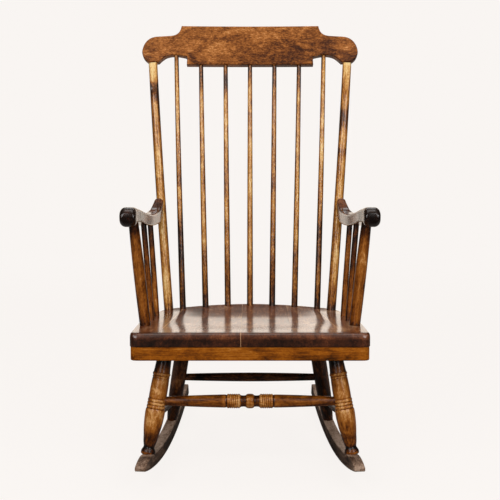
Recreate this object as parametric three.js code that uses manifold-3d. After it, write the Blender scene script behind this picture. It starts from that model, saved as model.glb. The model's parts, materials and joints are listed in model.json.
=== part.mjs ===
import * as THREE from 'three';
import { mergeVertices } from 'three/addons/utils/BufferGeometryUtils.js';
import Module from 'manifold-3d';

const wasm = await Module();
wasm.setup();

// A high-backed rocking chair of turned, bent and sawn wood
// Lengths in millimetres, the floor at z = 0, the sitter looking towards -Y
// Y is counted back from the front edge of the seat until the chair is centred at the end

// Joints
const fit = 0.3;
const overrun = 6;

// Seat: boards glued edge to edge, with a rolled front edge, a saddle and a rear edge rolled up
const seatWidth = 554;
const seatDepth = 487;
const seatThickness = 33;
const seatFrontHeight = 362.5;
const seatTiltDegrees = 4.8;
const seatFrontCorner = 18;
const seatSideRun = 155;
const seatShoulderInset = 27;
const seatShoulderSetback = 84;
const seatRearInset = 77;
const seatRearSetback = 33;
const seatTopRound = 12;
const seatUnderRound = 3;
const saddleDepth = 9;
const saddleFrontWidth = 424;
const saddleRearWidth = 362;
const saddleFrontFade = 150;
const saddleRearFade = 110;
const saddleRearMargin = 52;
const rearRollRise = 14;
const rearRollLength = 102;
const boardSeamShares = [-0.447, -0.077, 0.363];
const seatRingShares = [0.87, 0.75, 0.66, 0.5, 0.27];
const seatStep = 42;

// Front rail under the front edge of the seat
const railHeight = 31;
const railDepth = 30;
const railInset = 1.5;
const railCorner = 5;

// Back posts and spindles, bent back together
const postInset = 55.5;
const postSplay = 48;
const postRise = 662;
const postRake = 148;
const backBend = 19;
const postBaseRadius = 12.6;
const postTopRadius = 12.1;
const postSeatDepth = 23;
const postTenonRadius = 7;
const postTenonLength = 44;
const postFlatDepth = 3.5;
const postFlatLength = 70;
const spindleCount = 7;
const spindleBaseRadius = 8.6;
const spindleTopRadius = 6.1;
const spindleSeatDepth = 20;
const spindleCrestDepth = 24;
const spindleRearMargin = 17;
const spindleArcRadius = 545;
const spindleSeatShare = 0.831;
const spindleCrestShare = 0.764;

// Crest rail, sawn from a bowed plank
const crestHeight = 114;
const crestThickness = 24;
const crestBow = 28;
const crestEar = 29.5;
const crestArch = 93;

// Arms with a rolled front end
const armHeight = 644;
const armOverhang = 58;
const armRollHeight = 46;
const armRollWidth = 39.5;
const armRollOutset = 7.5;
const armThickness = 31;
const armDip = 44;
const armRearWidth = 25;
const armRearInset = 5;
const armRearLap = 6;
const armRound = 8;

// Turned post and two spindles under each arm
const armPostInset = 23;
const armPostSetback = 134;
const armPostSplay = 21.2;
const armPostRake = -24;
const armPostRadius = 13.9;
const armPostShoulder = 2.5;
const armPostTenonRadius = 7.5;
const armPostArmDepth = 22;
const armPostSeatDepth = 22;
const armSpindleRadius = 7.5;
const armSpindleInsets = [30, 34.5];
const armSpindleSetbacks = [220, 303];
const armSpindleSplays = [17.7, 14.7];
const armSpindleRakes = [11, 14];
const armSpindleArmDepth = 15;
const armSpindleSeatDepth = 18;

// Hidden dowel between each arm and its post
const dowelRadius = 4.8;
const dowelPostDepth = 6;
const dowelArmDepth = 34;

// Runners
const runnerRadius = 1114;
const runnerHeight = 31.2;
const runnerThickness = 28;
const runnerContact = 282.7;
const runnerContactHalf = 221;
const runnerToeDegrees = 5.1;
const runnerFront = 346;
const runnerRear = 313;
const runnerNose = 78;
const runnerTip = 5;
const runnerHeel = 2.5;
const runnerFacet = 34;

// Legs
const frontLegInset = 79;
const frontLegSetback = 108;
const frontLegFoot = 51.5;
const frontLegRadius = 23.6;
const rearLegInset = 111.5;
const rearLegSetback = 287;
const rearLegFoot = 376;
const rearLegRadius = 19.5;
const legNeckLength = 6;
const legTenonRadius = 12.6;
const legTenonLength = 24;
const footTenonRadius = 7.6;
const footTenonLength = 20;
const footSeat = 1.2;
const footOutset = 2;
const footPinRadius = 2.9;
const footPinInset = 0.6;

// Stretchers
const frontStretcherHeight = 178.8;
const frontStretcherRadius = 17.4;
const rearStretcherHeight = 165.7;
const rearStretcherRadius = 11.8;
const sideStretcherFrontHeight = 146;
const sideStretcherRearHeight = 103;
const sideStretcherRadius = 12.8;
const stretcherAxisGap = 4;
const reedCount = 6;
const reedDepthShare = 0.09;

// Turned profiles: place along the rod and radius, both as shares
const frontLegShares = [
  [0, 0.65], [0.014, 0.735], [0.036, 0.7], [0.052, 0.625], [0.066, 0.56], [0.08, 0.585],
  [0.12, 0.69], [0.164, 0.76], [0.217, 0.863], [0.26, 0.925], [0.32, 0.98], [0.366, 1], [0.396, 0.96],
  [0.403, 0.89], [0.42, 0.95], [0.434, 0.89], [0.448, 0.945], [0.462, 0.885], [0.476, 0.94],
  [0.49, 0.877], [0.56, 0.9], [0.668, 0.853], [0.674, 0.81], [0.684, 0.868],
  [0.694, 0.82], [0.706, 0.887], [0.718, 0.877], [0.724, 0.83], [0.79, 0.78], [0.9, 0.712],
];
const rearLegShares = [
  [0, 0.66], [0.02, 0.7], [0.12, 0.82], [0.28, 0.95], [0.58, 1], [0.75, 0.975], [0.9, 0.86],
];
const armPostShares = [
  [0, 0.95], [0.12, 0.97], [0.32, 1], [0.55, 0.99], [0.8, 0.93], [1, 0.84],
];
const armSpindleShares = [
  [0, 0.95], [0.3, 1], [0.6, 0.98], [1, 0.95],
];
const plainStretcherShares = [
  [0, 0.74], [0.22, 0.9], [0.4, 0.98], [0.5, 1], [0.6, 0.98], [0.78, 0.9], [1, 0.74],
];
const frontStretcherEndShares = [
  [0, 0.57], [0.06, 0.6], [0.3, 0.74], [0.52, 0.84], [0.66, 0.885], [0.735, 0.9], [0.742, 0.84],
];
const reedBandShares = [0.75, 0.89];
const reedRadiusShare = 0.98;
const coveRadiusShare = 0.78;
const coveShares = [0.9, 0.957];
const ballShares = [
  [0.963, 0.93], [0.98, 0.99], [1, 1],
];

// Crest ear, as shares of the arch or the ear across and of the crest's height upwards
const archShares = [
  [-1, 0], [-1.01, 0.2], [-0.76, 0.262], [-0.53, 0.27], [-0.375, 0.2], [-0.3, 0.165], [-0.175, 0.055],
];
const lobeShares = [
  [0.32, 0.055], [0.55, 0.15], [0.9, 0.25], [1, 0.31], [0.99, 0.43], [0.71, 0.7], [-0.4, 0.716],
];
const shelfShares = [
  [-0.5, 0.739], [-0.66, 0.754], [-0.79, 0.79], [-0.832, 1],
];

// Nose of a runner, as shares of the nose along and of the runner's height upwards
const noseShares = [
  [0, 1], [0.72, 0.78], [1, 0.26],
];

// Arm behind the roll: place along it, dip of its top, thickness, shift of its inner and outer edge
const armShares = [
  [0.035, 0.02, 1.37, 0, 0],
  [0.085, 0.11, 1.15, 0.03, 0.02],
  [0.16, 0.25, 0.975, 0.13, 0.1],
  [0.31, 0.53, 0.93, 0.28, 0.23],
  [0.475, 0.78, 0.95, 0.45, 0.37],
  [0.645, 0.96, 0.97, 0.63, 0.51],
  [0.79, 0.985, 1.03, 0.78, 0.64],
  [0.885, 0.88, 1.2, 0.88, 0.79],
  [0.945, 0.58, 1.48, 0.94, 0.92],
  [1, 0.31, 1.77, 1, 1],
];

// Front of the roll: turn round it from its front line, and how far its sides draw in
const armRollDegrees = [12, 32, 55, 90];
const armRollInsetShares = [0.14, 0.05, 0.01, 0];

const turnSides = 12;
const spindleSides = 8;
const legSides = 12;
const bendSteps = 8;
const crestSteps = 9;

// Looks of the woods
const lightWood = { color: 0x9c6a34, roughness: 0.42 };
const crestWood = { color: 0x7c4523, roughness: 0.4 };
const armWood = { color: 0x24140e, roughness: 0.2 };
const seatWood = { color: 0x4b2c1e, roughness: 0.22 };
const railWood = { color: 0xa3661f, roughness: 0.45 };
const legWood = { color: 0x8a5423, roughness: 0.35 };
const darkWood = { color: 0x2a180f, roughness: 0.4 };
const runnerWood = { color: 0x4a372b, roughness: 0.5 };

// Sizes that follow from those above
const degree = Math.PI / 180;
const seatHalf = seatWidth / 2;
const seatTilt = seatTiltDegrees * degree;
const runnerToe = runnerToeDegrees * degree;
const up = new THREE.Vector3(0, 0, 1);

// Solids

function solidOf(geometry) {
  const plain = geometry.clone();
  plain.deleteAttribute('normal');
  plain.deleteAttribute('uv');
  const merged = mergeVertices(plain);
  const vertProperties = Float32Array.from(merged.attributes.position.array);
  const triVerts = Uint32Array.from(merged.index.array);
  return new wasm.Manifold(new wasm.Mesh({ numProp: 3, vertProperties, triVerts }));
}

function geometryOf(solid) {
  const mesh = solid.getMesh();
  const geometry = new THREE.BufferGeometry();
  geometry.setAttribute('position', new THREE.BufferAttribute(mesh.vertProperties, mesh.numProp));
  geometry.setIndex(new THREE.BufferAttribute(mesh.triVerts, 1));
  geometry.computeVertexNormals();
  return geometry;
}

function cut(geometry, tools) {
  const start = solidOf(geometry);
  return geometryOf(tools.reduce((solid, tool) => solid.subtract(solidOf(tool)), start));
}

function common(first, second) {
  return geometryOf(solidOf(first).intersect(solidOf(second)));
}

function boxBetween(low, high) {
  const size = high.clone().sub(low);
  const middle = low.clone().add(high).multiplyScalar(0.5);
  const box = new THREE.BoxGeometry(size.x, size.y, size.z);
  return box.translate(middle.x, middle.y, middle.z);
}

function indexed(points, triangles) {
  const geometry = new THREE.BufferGeometry();
  geometry.setFromPoints(points);
  geometry.setIndex(triangles);
  geometry.computeVertexNormals();
  return geometry;
}

function middleOf(ring) {
  const sum = ring.reduce((total, point) => total.add(point), new THREE.Vector3());
  return sum.divideScalar(ring.length);
}

// Closed skin over rings of equal point count, with a fan to the middle at each end
function skin(rings) {
  const count = rings[0].length;
  const points = [...rings.flat(), middleOf(rings[0]), middleOf(rings[rings.length - 1])];
  const triangles = [];
  for (let ring = 0; ring + 1 < rings.length; ring += 1) {
    for (let side = 0; side < count; side += 1) {
      const next = (side + 1) % count;
      const low = ring * count;
      const high = low + count;
      triangles.push(low + side, low + next, high + side);
      triangles.push(low + next, high + next, high + side);
    }
  }
  const first = rings.length * count;
  const last = first - count;
  for (let side = 0; side < count; side += 1) {
    const next = (side + 1) % count;
    triangles.push(first, next, side);
    triangles.push(first + 1, last + side, last + next);
  }
  return indexed(points, triangles);
}

// Rods

function profileOf(shares, length, radius) {
  return shares.map(([along, out]) => [along * length, out * radius]);
}

function turned(profile, sides) {
  const points = profile.map(([along, radius]) => new THREE.Vector2(radius, along));
  points.unshift(new THREE.Vector2(0, points[0].y));
  points.push(new THREE.Vector2(0, points[points.length - 1].y));
  return new THREE.LatheGeometry(points, sides).rotateX(Math.PI / 2);
}

// The same profile, one clearance larger all round, as the hole for the rod
function loosened(profile) {
  const last = profile.length - 1;
  return profile.map(([along, radius], index) => {
    const shift = (index === last ? fit : 0) - (index === 0 ? fit : 0);
    return [along + shift, radius + fit];
  });
}

function rodFrame(from, to) {
  const turn = new THREE.Quaternion().setFromUnitVectors(up, to.clone().sub(from).normalize());
  return new THREE.Matrix4().compose(from, turn, new THREE.Vector3(1, 1, 1));
}

function straightRod(from, to, profile, sides) {
  const frame = rodFrame(from, to);
  return { frame, body: turned(profile, sides), hole: turned(loosened(profile), sides).applyMatrix4(frame) };
}

// Bends a straight turned rod so that its axis follows the curve, straight on past both ends
function bentAlong(geometry, curve) {
  const length = curve.getLength();
  const place = geometry.attributes.position;
  const point = new THREE.Vector3();
  for (let index = 0; index < place.count; index += 1) {
    point.fromBufferAttribute(place, index);
    const along = THREE.MathUtils.clamp(point.z / length, 0, 1);
    const tangent = curve.getTangentAt(along);
    const side = new THREE.Vector3(1, 0, 0).projectOnPlane(tangent).normalize();
    const front = tangent.clone().cross(side);
    const past = point.z - along * length;
    const bent = curve.getPointAt(along).addScaledVector(tangent, past);
    bent.addScaledVector(side, point.x).addScaledVector(front, point.y);
    place.setXYZ(index, bent.x, bent.y, bent.z);
  }
  return geometry;
}

function bentRod(curve, profile, sides) {
  const body = bentAlong(turned(profile, sides), curve);
  const hole = bentAlong(turned(loosened(profile), sides), curve);
  return { frame: new THREE.Matrix4(), body, hole };
}

// Even steps between two radii, so that a rod has rings to bend at
function tapered(length, base, top) {
  return Array.from({ length: bendSteps + 1 }, (_, step) => {
    const share = step / bendSteps;
    return [share * length, THREE.MathUtils.lerp(base, top, share)];
  });
}

// Holes brought from the chair's frame into that of a placed piece
function holesIn(frame, rods) {
  const inverse = frame.clone().invert();
  return rods.map((rod) => rod.hole.clone().applyMatrix4(inverse));
}

const group = new THREE.Group();

function add(parent, name, geometry, wood) {
  const mesh = new THREE.Mesh(geometry, new THREE.MeshStandardMaterial({ ...wood, metalness: 0 }));
  mesh.name = name;
  parent.add(mesh);
  return mesh;
}

function addRod(name, rod, others, wood) {
  const body = others.length ? cut(rod.body, holesIn(rod.frame, others)) : rod.body;
  const mesh = add(group, name, body, wood);
  mesh.applyMatrix4(rod.frame);
  return mesh;
}

const sides = [
  { name: 'left', sign: -1 },
  { name: 'right', sign: 1 },
];

// Seat frame: x across, y back along the seat, z up from the plane of its front edge
const seatFrame = new THREE.Matrix4().makeRotationX(-seatTilt).setPosition(0, 0, seatFrontHeight);

function smooth(value) {
  return THREE.MathUtils.smoothstep(value, 0, 1);
}

function seatTop(x, back) {
  const roll = rearRollRise * Math.max(0, (back - seatDepth + rearRollLength) / rearRollLength) ** 2;
  const creaseWidth = THREE.MathUtils.lerp(saddleFrontWidth, saddleRearWidth, back / seatDepth);
  const across = 1 - Math.min(1, Math.abs(x) / (creaseWidth / 2)) ** 5;
  const front = smooth((back - seatTopRound) / saddleFrontFade);
  const rear = smooth((seatDepth - saddleRearMargin - back) / saddleRearFade);
  return roll - saddleDepth * across * front * rear;
}

function seatPoint(x, back, height) {
  return new THREE.Vector3(x, back, height).applyMatrix4(seatFrame);
}

function seatOutline() {
  const shoulderHalf = seatHalf - seatShoulderInset;
  const rearHalf = seatHalf - seatRearInset;
  const shoulder = seatDepth - seatShoulderSetback;
  const rear = seatDepth - seatRearSetback;
  const shape = new THREE.Shape();
  shape.moveTo(0, 0);
  shape.lineTo(seatHalf - seatFrontCorner, 0);
  shape.quadraticCurveTo(seatHalf, 0, seatHalf, seatFrontCorner);
  shape.lineTo(seatHalf, seatSideRun);
  const sideReach = (shoulder - seatSideRun) / 3;
  const lean = seatShoulderInset / 3;
  shape.bezierCurveTo(
    seatHalf, seatSideRun + sideReach, shoulderHalf + lean, shoulder - sideReach, shoulderHalf, shoulder,
  );
  const cornerReach = (rear - shoulder) * 0.7;
  shape.bezierCurveTo(
    shoulderHalf - cornerReach / 5, shoulder + cornerReach,
    rearHalf + cornerReach / 2, rear - cornerReach / 6, rearHalf, rear,
  );
  shape.quadraticCurveTo(rearHalf / 2, seatDepth, 0, seatDepth);
  const right = shape.curves.flatMap((curve) => {
    const steps = Math.max(3, Math.round(curve.getLength() / seatStep));
    return curve.getPoints(steps).slice(0, -1);
  });
  const left = right.slice(1).map((point) => new THREE.Vector2(-point.x, point.y));
  return [...right, new THREE.Vector2(0, seatDepth), ...left.reverse()];
}

function inset(outline, distance) {
  return outline.map((point, index) => {
    const before = outline[(index + outline.length - 1) % outline.length];
    const after = outline[(index + 1) % outline.length];
    const along = after.clone().sub(before).normalize();
    return new THREE.Vector2(point.x - along.y * distance, point.y + along.x * distance);
  });
}

// Nested rings: up the rounded wall, then in over the saddle to the middle
function seatBlank() {
  const outline = seatOutline();
  const middle = new THREE.Vector2(0, seatDepth / 2);
  const lifted = (ring, height) => ring.map(
    (point) => new THREE.Vector3(point.x, point.y, height + seatTop(point.x, point.y)),
  );
  const flat = (ring, height) => ring.map((point) => new THREE.Vector3(point.x, point.y, height));
  const rings = [
    flat(inset(outline, seatUnderRound), -seatThickness),
    flat(outline, seatUnderRound - seatThickness),
  ];
  const roundSteps = 3;
  for (let step = 0; step <= roundSteps; step += 1) {
    const angle = (step / roundSteps) * (Math.PI / 2);
    const ring = inset(outline, seatTopRound * (1 - Math.cos(angle)));
    rings.push(lifted(ring, seatTopRound * (Math.sin(angle) - 1)));
  }
  const brim = inset(outline, seatTopRound);
  for (const share of seatRingShares) {
    rings.push(lifted(brim.map((point) => point.clone().lerp(middle, 1 - share)), 0));
  }
  return skin(rings);
}

function seatRail() {
  const outline = new THREE.ExtrudeGeometry(new THREE.Shape(inset(seatOutline(), railInset)), {
    depth: railHeight, bevelEnabled: false,
  });
  outline.translate(0, 0, -seatThickness - fit - railHeight);
  const half = seatHalf - railInset + overrun;
  const corner = railCorner + overrun;
  const low = -seatThickness - fit - railHeight;
  const face = new THREE.Shape();
  face.moveTo(corner - half, low);
  face.lineTo(half - corner, low);
  face.quadraticCurveTo(half - overrun, low, half - overrun, low + corner);
  face.lineTo(half, overrun);
  face.lineTo(-half, overrun);
  face.lineTo(overrun - half, low + corner);
  face.quadraticCurveTo(overrun - half, low, corner - half, low);
  const front = new THREE.ExtrudeGeometry(face, {
    depth: railDepth + overrun, bevelEnabled: false, curveSegments: 4,
  });
  front.rotateX(Math.PI / 2).translate(0, railDepth, 0);
  return common(outline, front);
}

// Back curve: both ends given, bowed forwards at the middle
function backCurve(base, top) {
  const middle = base.clone().lerp(top, 0.5);
  middle.y -= 2 * backBend;
  return new THREE.QuadraticBezierCurve3(base, middle, top);
}

function arcBack(x) {
  const centre = seatDepth - spindleRearMargin - spindleArcRadius;
  return centre + Math.sqrt(spindleArcRadius ** 2 - x ** 2);
}

function seatSurface(x, back) {
  return seatPoint(x, back, seatTop(x, back));
}

const postHalf = seatHalf - postInset;
const postTopHalf = postHalf + postSplay;
const postCurves = sides.map(({ sign }) => {
  const base = seatSurface(sign * postHalf, arcBack(postHalf));
  const top = base.clone().add(new THREE.Vector3(sign * postSplay, postRake, postRise));
  return backCurve(base, top);
});

// Crest frame: x across, y back, z up along its face, from the line between the two post tops
const postTop = postCurves[1].v2;
const postEnd = postCurves[1].getTangentAt(1);
const crestLean = Math.atan2(postEnd.y, postEnd.z);
const crestFrame = new THREE.Matrix4().makeRotationX(-crestLean).setPosition(0, postTop.y, postTop.z);
const crestRadius = (postTopHalf ** 2 + crestBow ** 2) / (2 * crestBow);

function crestBack(x) {
  return crestBow - crestRadius + Math.sqrt(crestRadius ** 2 - x ** 2);
}

// Keeps the leaned rail level: the bow alone would lower its middle
function crestLift(x) {
  return crestBack(x) * Math.tan(crestLean);
}

const crestReach = postTopHalf + crestEar + overrun;
const crestStep = crestReach / crestSteps;

// Points of a level run, one at each step of the bow, from the middle to its end
function levelRun(end) {
  const count = Math.ceil(end.x / crestStep);
  return Array.from({ length: count }, (_, step) => new THREE.Vector2(step * crestStep, end.y));
}

function crestOutline() {
  const arch = ([across, rise]) => [postTopHalf + across * crestArch, rise * crestHeight];
  const lobe = ([across, rise]) => [postTopHalf + across * crestEar, rise * crestHeight];
  const path = new THREE.Path();
  path.moveTo(...arch(archShares[0]));
  path.lineTo(...arch(archShares[1]));
  path.bezierCurveTo(...arch(archShares[2]), ...arch(archShares[3]), ...arch(archShares[4]));
  path.quadraticCurveTo(...arch(archShares[5]), ...arch(archShares[6]));
  path.lineTo(...lobe(lobeShares[0]));
  path.bezierCurveTo(...lobe(lobeShares[1]), ...lobe(lobeShares[2]), ...lobe(lobeShares[3]));
  path.bezierCurveTo(...lobe(lobeShares[4]), ...lobe(lobeShares[5]), ...lobe(lobeShares[6]));
  path.lineTo(...arch(shelfShares[0]));
  path.bezierCurveTo(...arch(shelfShares[1]), ...arch(shelfShares[2]), ...arch(shelfShares[3]));
  const end = path.getPoints(5);
  const half = [...levelRun(end[0]), ...end, ...levelRun(end[end.length - 1]).reverse()];
  const right = half.map((point) => new THREE.Vector2(point.x, point.y + crestLift(point.x)));
  const left = right.filter((point) => point.x > 0).map((point) => new THREE.Vector2(-point.x, point.y));
  return new THREE.Shape([...right, ...left.reverse()]);
}

// The plank bowed in plan, and the outline sawn through it
function crestBlank() {
  const near = [];
  const far = [];
  for (let step = -crestSteps; step <= crestSteps; step += 1) {
    const x = step * crestStep;
    near.push(new THREE.Vector2(x, crestBack(x) - crestThickness / 2));
    far.push(new THREE.Vector2(x, crestBack(x) + crestThickness / 2));
  }
  const plank = new THREE.ExtrudeGeometry(new THREE.Shape([...near, ...far.reverse()]), {
    depth: crestHeight + crestLift(0) + 2 * crestBow, bevelEnabled: false,
  });
  plank.translate(0, 0, -crestBow);
  const sawn = new THREE.ExtrudeGeometry(crestOutline(), {
    depth: 2 * (crestBow + crestThickness), bevelEnabled: false,
  });
  sawn.rotateX(Math.PI / 2).translate(0, crestBow + crestThickness, 0);
  return common(plank, sawn);
}

// The posts run on past the ends of their curves, up to the underside of the ears
const postShoulder = lobeShares[0][1] * crestHeight - fit;
const posts = postCurves.map((curve) => {
  const length = curve.getLength();
  const body = tapered(length, postBaseRadius, postTopRadius);
  const ends = [
    [-postSeatDepth, postBaseRadius],
    [length + postShoulder - fit, postTopRadius],
    [length + postShoulder, postTenonRadius],
    [length + postTenonLength, postTenonRadius],
  ];
  return bentRod(curve, [ends[0], ...body, ...ends.slice(1)], turnSides);
});

const spindles = Array.from({ length: spindleCount }, (_, index) => {
  const place = (2 * index) / (spindleCount - 1) - 1;
  const x = place * spindleSeatShare * postHalf;
  const base = seatSurface(x, arcBack(x));
  const topX = place * spindleCrestShare * postTopHalf;
  const rise = Math.abs(topX) > postTopHalf - crestArch ? archShares[3][1] * crestHeight : 0;
  const topPlace = new THREE.Vector3(topX, crestBack(topX), rise + crestLift(topX));
  const top = topPlace.applyMatrix4(crestFrame);
  const curve = backCurve(base, top);
  const length = curve.getLength();
  const body = tapered(length, spindleBaseRadius, spindleTopRadius);
  const ends = [
    [-spindleSeatDepth, spindleBaseRadius],
    [length + spindleCrestDepth - rise / 2, spindleTopRadius],
  ];
  return bentRod(curve, [ends[0], ...body, ends[1]], spindleSides);
});

// Runner frame: x outwards, y back along the runner, z up, from where it stands on the floor
function runnerFrame(sign) {
  const frame = new THREE.Matrix4().makeRotationZ(sign * runnerToe);
  return frame.setPosition(sign * runnerContactHalf, runnerContact, 0);
}

function rolled(along, height) {
  const angle = along / runnerRadius;
  const radius = runnerRadius - height;
  return new THREE.Vector2(radius * Math.sin(angle), runnerRadius - radius * Math.cos(angle));
}

function runnerBlank() {
  const shape = new THREE.Path();
  shape.moveTo(runnerRear - runnerHeel, 0);
  shape.quadraticCurveTo(runnerRear, 0, runnerRear, runnerHeel);
  shape.lineTo(runnerRear, runnerHeight - runnerHeel);
  shape.quadraticCurveTo(runnerRear, runnerHeight, runnerRear - runnerHeel, runnerHeight);
  const front = new THREE.Path();
  const nose = ([along, rise]) => [runnerNose * (1 - along) - runnerFront, runnerHeight * rise];
  front.moveTo(...nose(noseShares[0]));
  front.quadraticCurveTo(...nose(noseShares[1]), ...nose(noseShares[2]));
  front.quadraticCurveTo(-runnerFront, 0, runnerTip - runnerFront, 0);
  const outline = [...shape.getPoints(4)];
  for (let along = runnerRear - runnerFacet; along > runnerNose - runnerFront + runnerFacet / 2;) {
    outline.push(new THREE.Vector2(along, runnerHeight));
    along -= runnerFacet;
  }
  outline.push(...front.getPoints(5));
  const first = -Math.floor((runnerFront - runnerTip) / runnerFacet) + 1 / 2;
  for (let step = first; step * runnerFacet < runnerRear - runnerHeel - runnerFacet / 3; step += 1) {
    outline.push(new THREE.Vector2(step * runnerFacet, 0));
  }
  const points = outline.map((point) => rolled(point.x, point.y));
  const board = new THREE.ExtrudeGeometry(new THREE.Shape(points), {
    depth: runnerThickness, bevelEnabled: false,
  });
  board.translate(0, 0, -runnerThickness / 2);
  const turn = new THREE.Matrix4().makeBasis(
    new THREE.Vector3(0, 1, 0), new THREE.Vector3(0, 0, 1), new THREE.Vector3(1, 0, 0),
  );
  return board.applyMatrix4(turn);
}

function runnerTop(sign, back, outset) {
  const along = (back - runnerContact) / Math.cos(runnerToe);
  const radius = runnerRadius - runnerHeight;
  const height = runnerRadius - Math.sqrt(radius ** 2 - along ** 2);
  return new THREE.Vector3(sign * outset, along, height).applyMatrix4(runnerFrame(sign));
}

// Legs stand on the runners and end in blind holes under the seat
function legRod(sign, legInset, legSetback, foot, outset, shares, radius) {
  const from = runnerTop(sign, foot, outset);
  const to = seatPoint(sign * (seatHalf - legInset), legSetback, -seatThickness);
  const length = from.distanceTo(to);
  const profile = [
    [-footTenonLength, footTenonRadius],
    [-footSeat - fit, footTenonRadius],
    ...profileOf(shares, length, radius).map(([along, out]) => [along - footSeat, out]),
    [length - legNeckLength, legTenonRadius],
    [length + legTenonLength, legTenonRadius],
  ];
  return { ...straightRod(from, to, profile, legSides), from, to };
}

function onAxis(rod, height) {
  const share = (height - rod.from.z) / (rod.to.z - rod.from.z);
  return rod.from.clone().lerp(rod.to, share);
}

function stretcherRod(start, end, shares, radius, rodSides) {
  const direction = end.clone().sub(start).normalize();
  const from = start.clone().addScaledVector(direction, stretcherAxisGap);
  const to = end.clone().addScaledVector(direction, -stretcherAxisGap);
  return straightRod(from, to, profileOf(shares, from.distanceTo(to), radius), rodSides);
}

// Half of the front stretcher: plain taper, a band of reeds, a cove and the middle ball
function frontStretcherShares() {
  const [bandStart, bandEnd] = reedBandShares;
  const reeds = [];
  for (let step = 0; step <= 2 * reedCount; step += 1) {
    const dip = step % 2 ? 0 : reedDepthShare;
    const place = THREE.MathUtils.lerp(bandStart, bandEnd, step / (2 * reedCount));
    reeds.push([place, reedRadiusShare - dip]);
  }
  const coves = coveShares.map((place) => [place, coveRadiusShare]);
  const half = [...frontStretcherEndShares, ...reeds, ...coves, ...ballShares];
  const near = half.map(([along, out]) => [along / 2, out]);
  const far = near.slice(0, -1).map(([along, out]) => [1 - along, out]);
  return [...near, ...far.reverse()];
}

const frontLegs = sides.map(({ sign }) => legRod(
  sign, frontLegInset, frontLegSetback, frontLegFoot, footOutset, frontLegShares, frontLegRadius,
));
const rearLegs = sides.map(({ sign }) => legRod(
  sign, rearLegInset, rearLegSetback, rearLegFoot, 0, rearLegShares, rearLegRadius,
));
const frontStretcher = stretcherRod(
  ...frontLegs.map((leg) => onAxis(leg, frontStretcherHeight)),
  frontStretcherShares(), frontStretcherRadius, turnSides,
);
const rearStretcher = stretcherRod(
  ...rearLegs.map((leg) => onAxis(leg, rearStretcherHeight)),
  plainStretcherShares, rearStretcherRadius, spindleSides,
);
const sideStretchers = sides.map((_, index) => stretcherRod(
  onAxis(frontLegs[index], sideStretcherFrontHeight), onAxis(rearLegs[index], sideStretcherRearHeight),
  plainStretcherShares, sideStretcherRadius, spindleSides,
));

// Pegs across the runners, through the foot tenons
function footPin(sign, leg) {
  const out = new THREE.Vector3(1, 0, 0).transformDirection(runnerFrame(sign));
  const middle = new THREE.Vector3(0, 0, -footTenonLength / 2).applyMatrix4(leg.frame);
  const home = middle.clone().applyMatrix4(runnerFrame(sign).invert());
  middle.addScaledVector(out, -home.x);
  const half = runnerThickness / 2 - footPinInset;
  const from = middle.clone().addScaledVector(out, -half);
  const to = middle.clone().addScaledVector(out, half);
  return straightRod(from, to, [[0, footPinRadius], [2 * half, footPinRadius]], spindleSides);
}

const frontPins = sides.map(({ sign }, index) => footPin(sign, frontLegs[index]));
const rearPins = sides.map(({ sign }, index) => footPin(sign, rearLegs[index]));

// Place on a post's axis at a height: the height grows evenly along its curve
function postAt(curve, height) {
  return curve.getPoint((height - curve.v0.z) / postRise);
}

// Arm: stations from the rolled front back to the post
function armStations(curve) {
  const joint = postAt(curve, armHeight - armRollHeight);
  const radius = armRollHeight / 2;
  const front = armPostSetback + armPostRake - armOverhang;
  const length = joint.y - armRearLap - front - radius;
  const middle = seatHalf - armPostInset + armPostSplay + armRollOutset;
  const inner = middle - armRollWidth / 2;
  const outer = middle + armRollWidth / 2;
  const innerRear = Math.abs(joint.x) - armRearInset;
  const outerRear = innerRear + armRearWidth;
  const roll = armRollDegrees.map((angle, index) => {
    const lift = radius * Math.sin(angle * degree);
    const narrow = armRollInsetShares[index] * armRollWidth;
    return {
      back: front + radius * (1 - Math.cos(angle * degree)),
      top: armHeight - radius + lift,
      low: armHeight - radius - lift,
      inner: inner + narrow,
      outer: outer - narrow,
    };
  });
  const rest = armShares.map(([along, dip, thick, inShift, outShift]) => ({
    back: front + radius + along * length,
    top: armHeight - dip * armDip,
    low: armHeight - dip * armDip - thick * armThickness,
    inner: THREE.MathUtils.lerp(inner, innerRear, inShift),
    outer: THREE.MathUtils.lerp(outer, outerRear, outShift),
  }));
  return [...roll, ...rest];
}

// Rounded rectangle at one station, anticlockwise seen from the back
function armRing(station, sign) {
  const round = Math.min(armRound, (station.top - station.low) / 2.2);
  const corners = [
    [station.outer - round, station.low + round, -90],
    [station.outer - round, station.top - round, 0],
    [station.inner + round, station.top - round, 90],
    [station.inner + round, station.low + round, 180],
  ];
  const steps = 2;
  const ring = corners.flatMap(([x, z, start]) => Array.from({ length: steps + 1 }, (_, step) => {
    const angle = (start + (step * 90) / steps) * degree;
    const across = x + round * Math.cos(angle);
    return new THREE.Vector3(sign * across, station.back, z + round * Math.sin(angle));
  }));
  return sign > 0 ? ring.reverse() : ring;
}

function armBlank(sign, curve) {
  return skin(armStations(curve).map((station) => armRing(station, sign)));
}

// Height of the arm's underside at a place along it
function armUnder(curve, back) {
  const stations = armStations(curve).slice(armRollDegrees.length - 1);
  const far = Math.max(1, stations.findIndex((station) => station.back > back));
  const near = stations[far - 1];
  const share = (back - near.back) / (stations[far].back - near.back);
  return THREE.MathUtils.lerp(near.low, stations[far].low, share);
}

function underArmRod(index, rodInset, setback, splay, rake) {
  const { sign } = sides[index];
  const x = seatHalf - rodInset;
  const from = seatSurface(sign * x, setback);
  const back = from.y + rake;
  const to = new THREE.Vector3(sign * (x + splay), back, armUnder(postCurves[index], back));
  return { from, to, length: from.distanceTo(to) };
}

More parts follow.
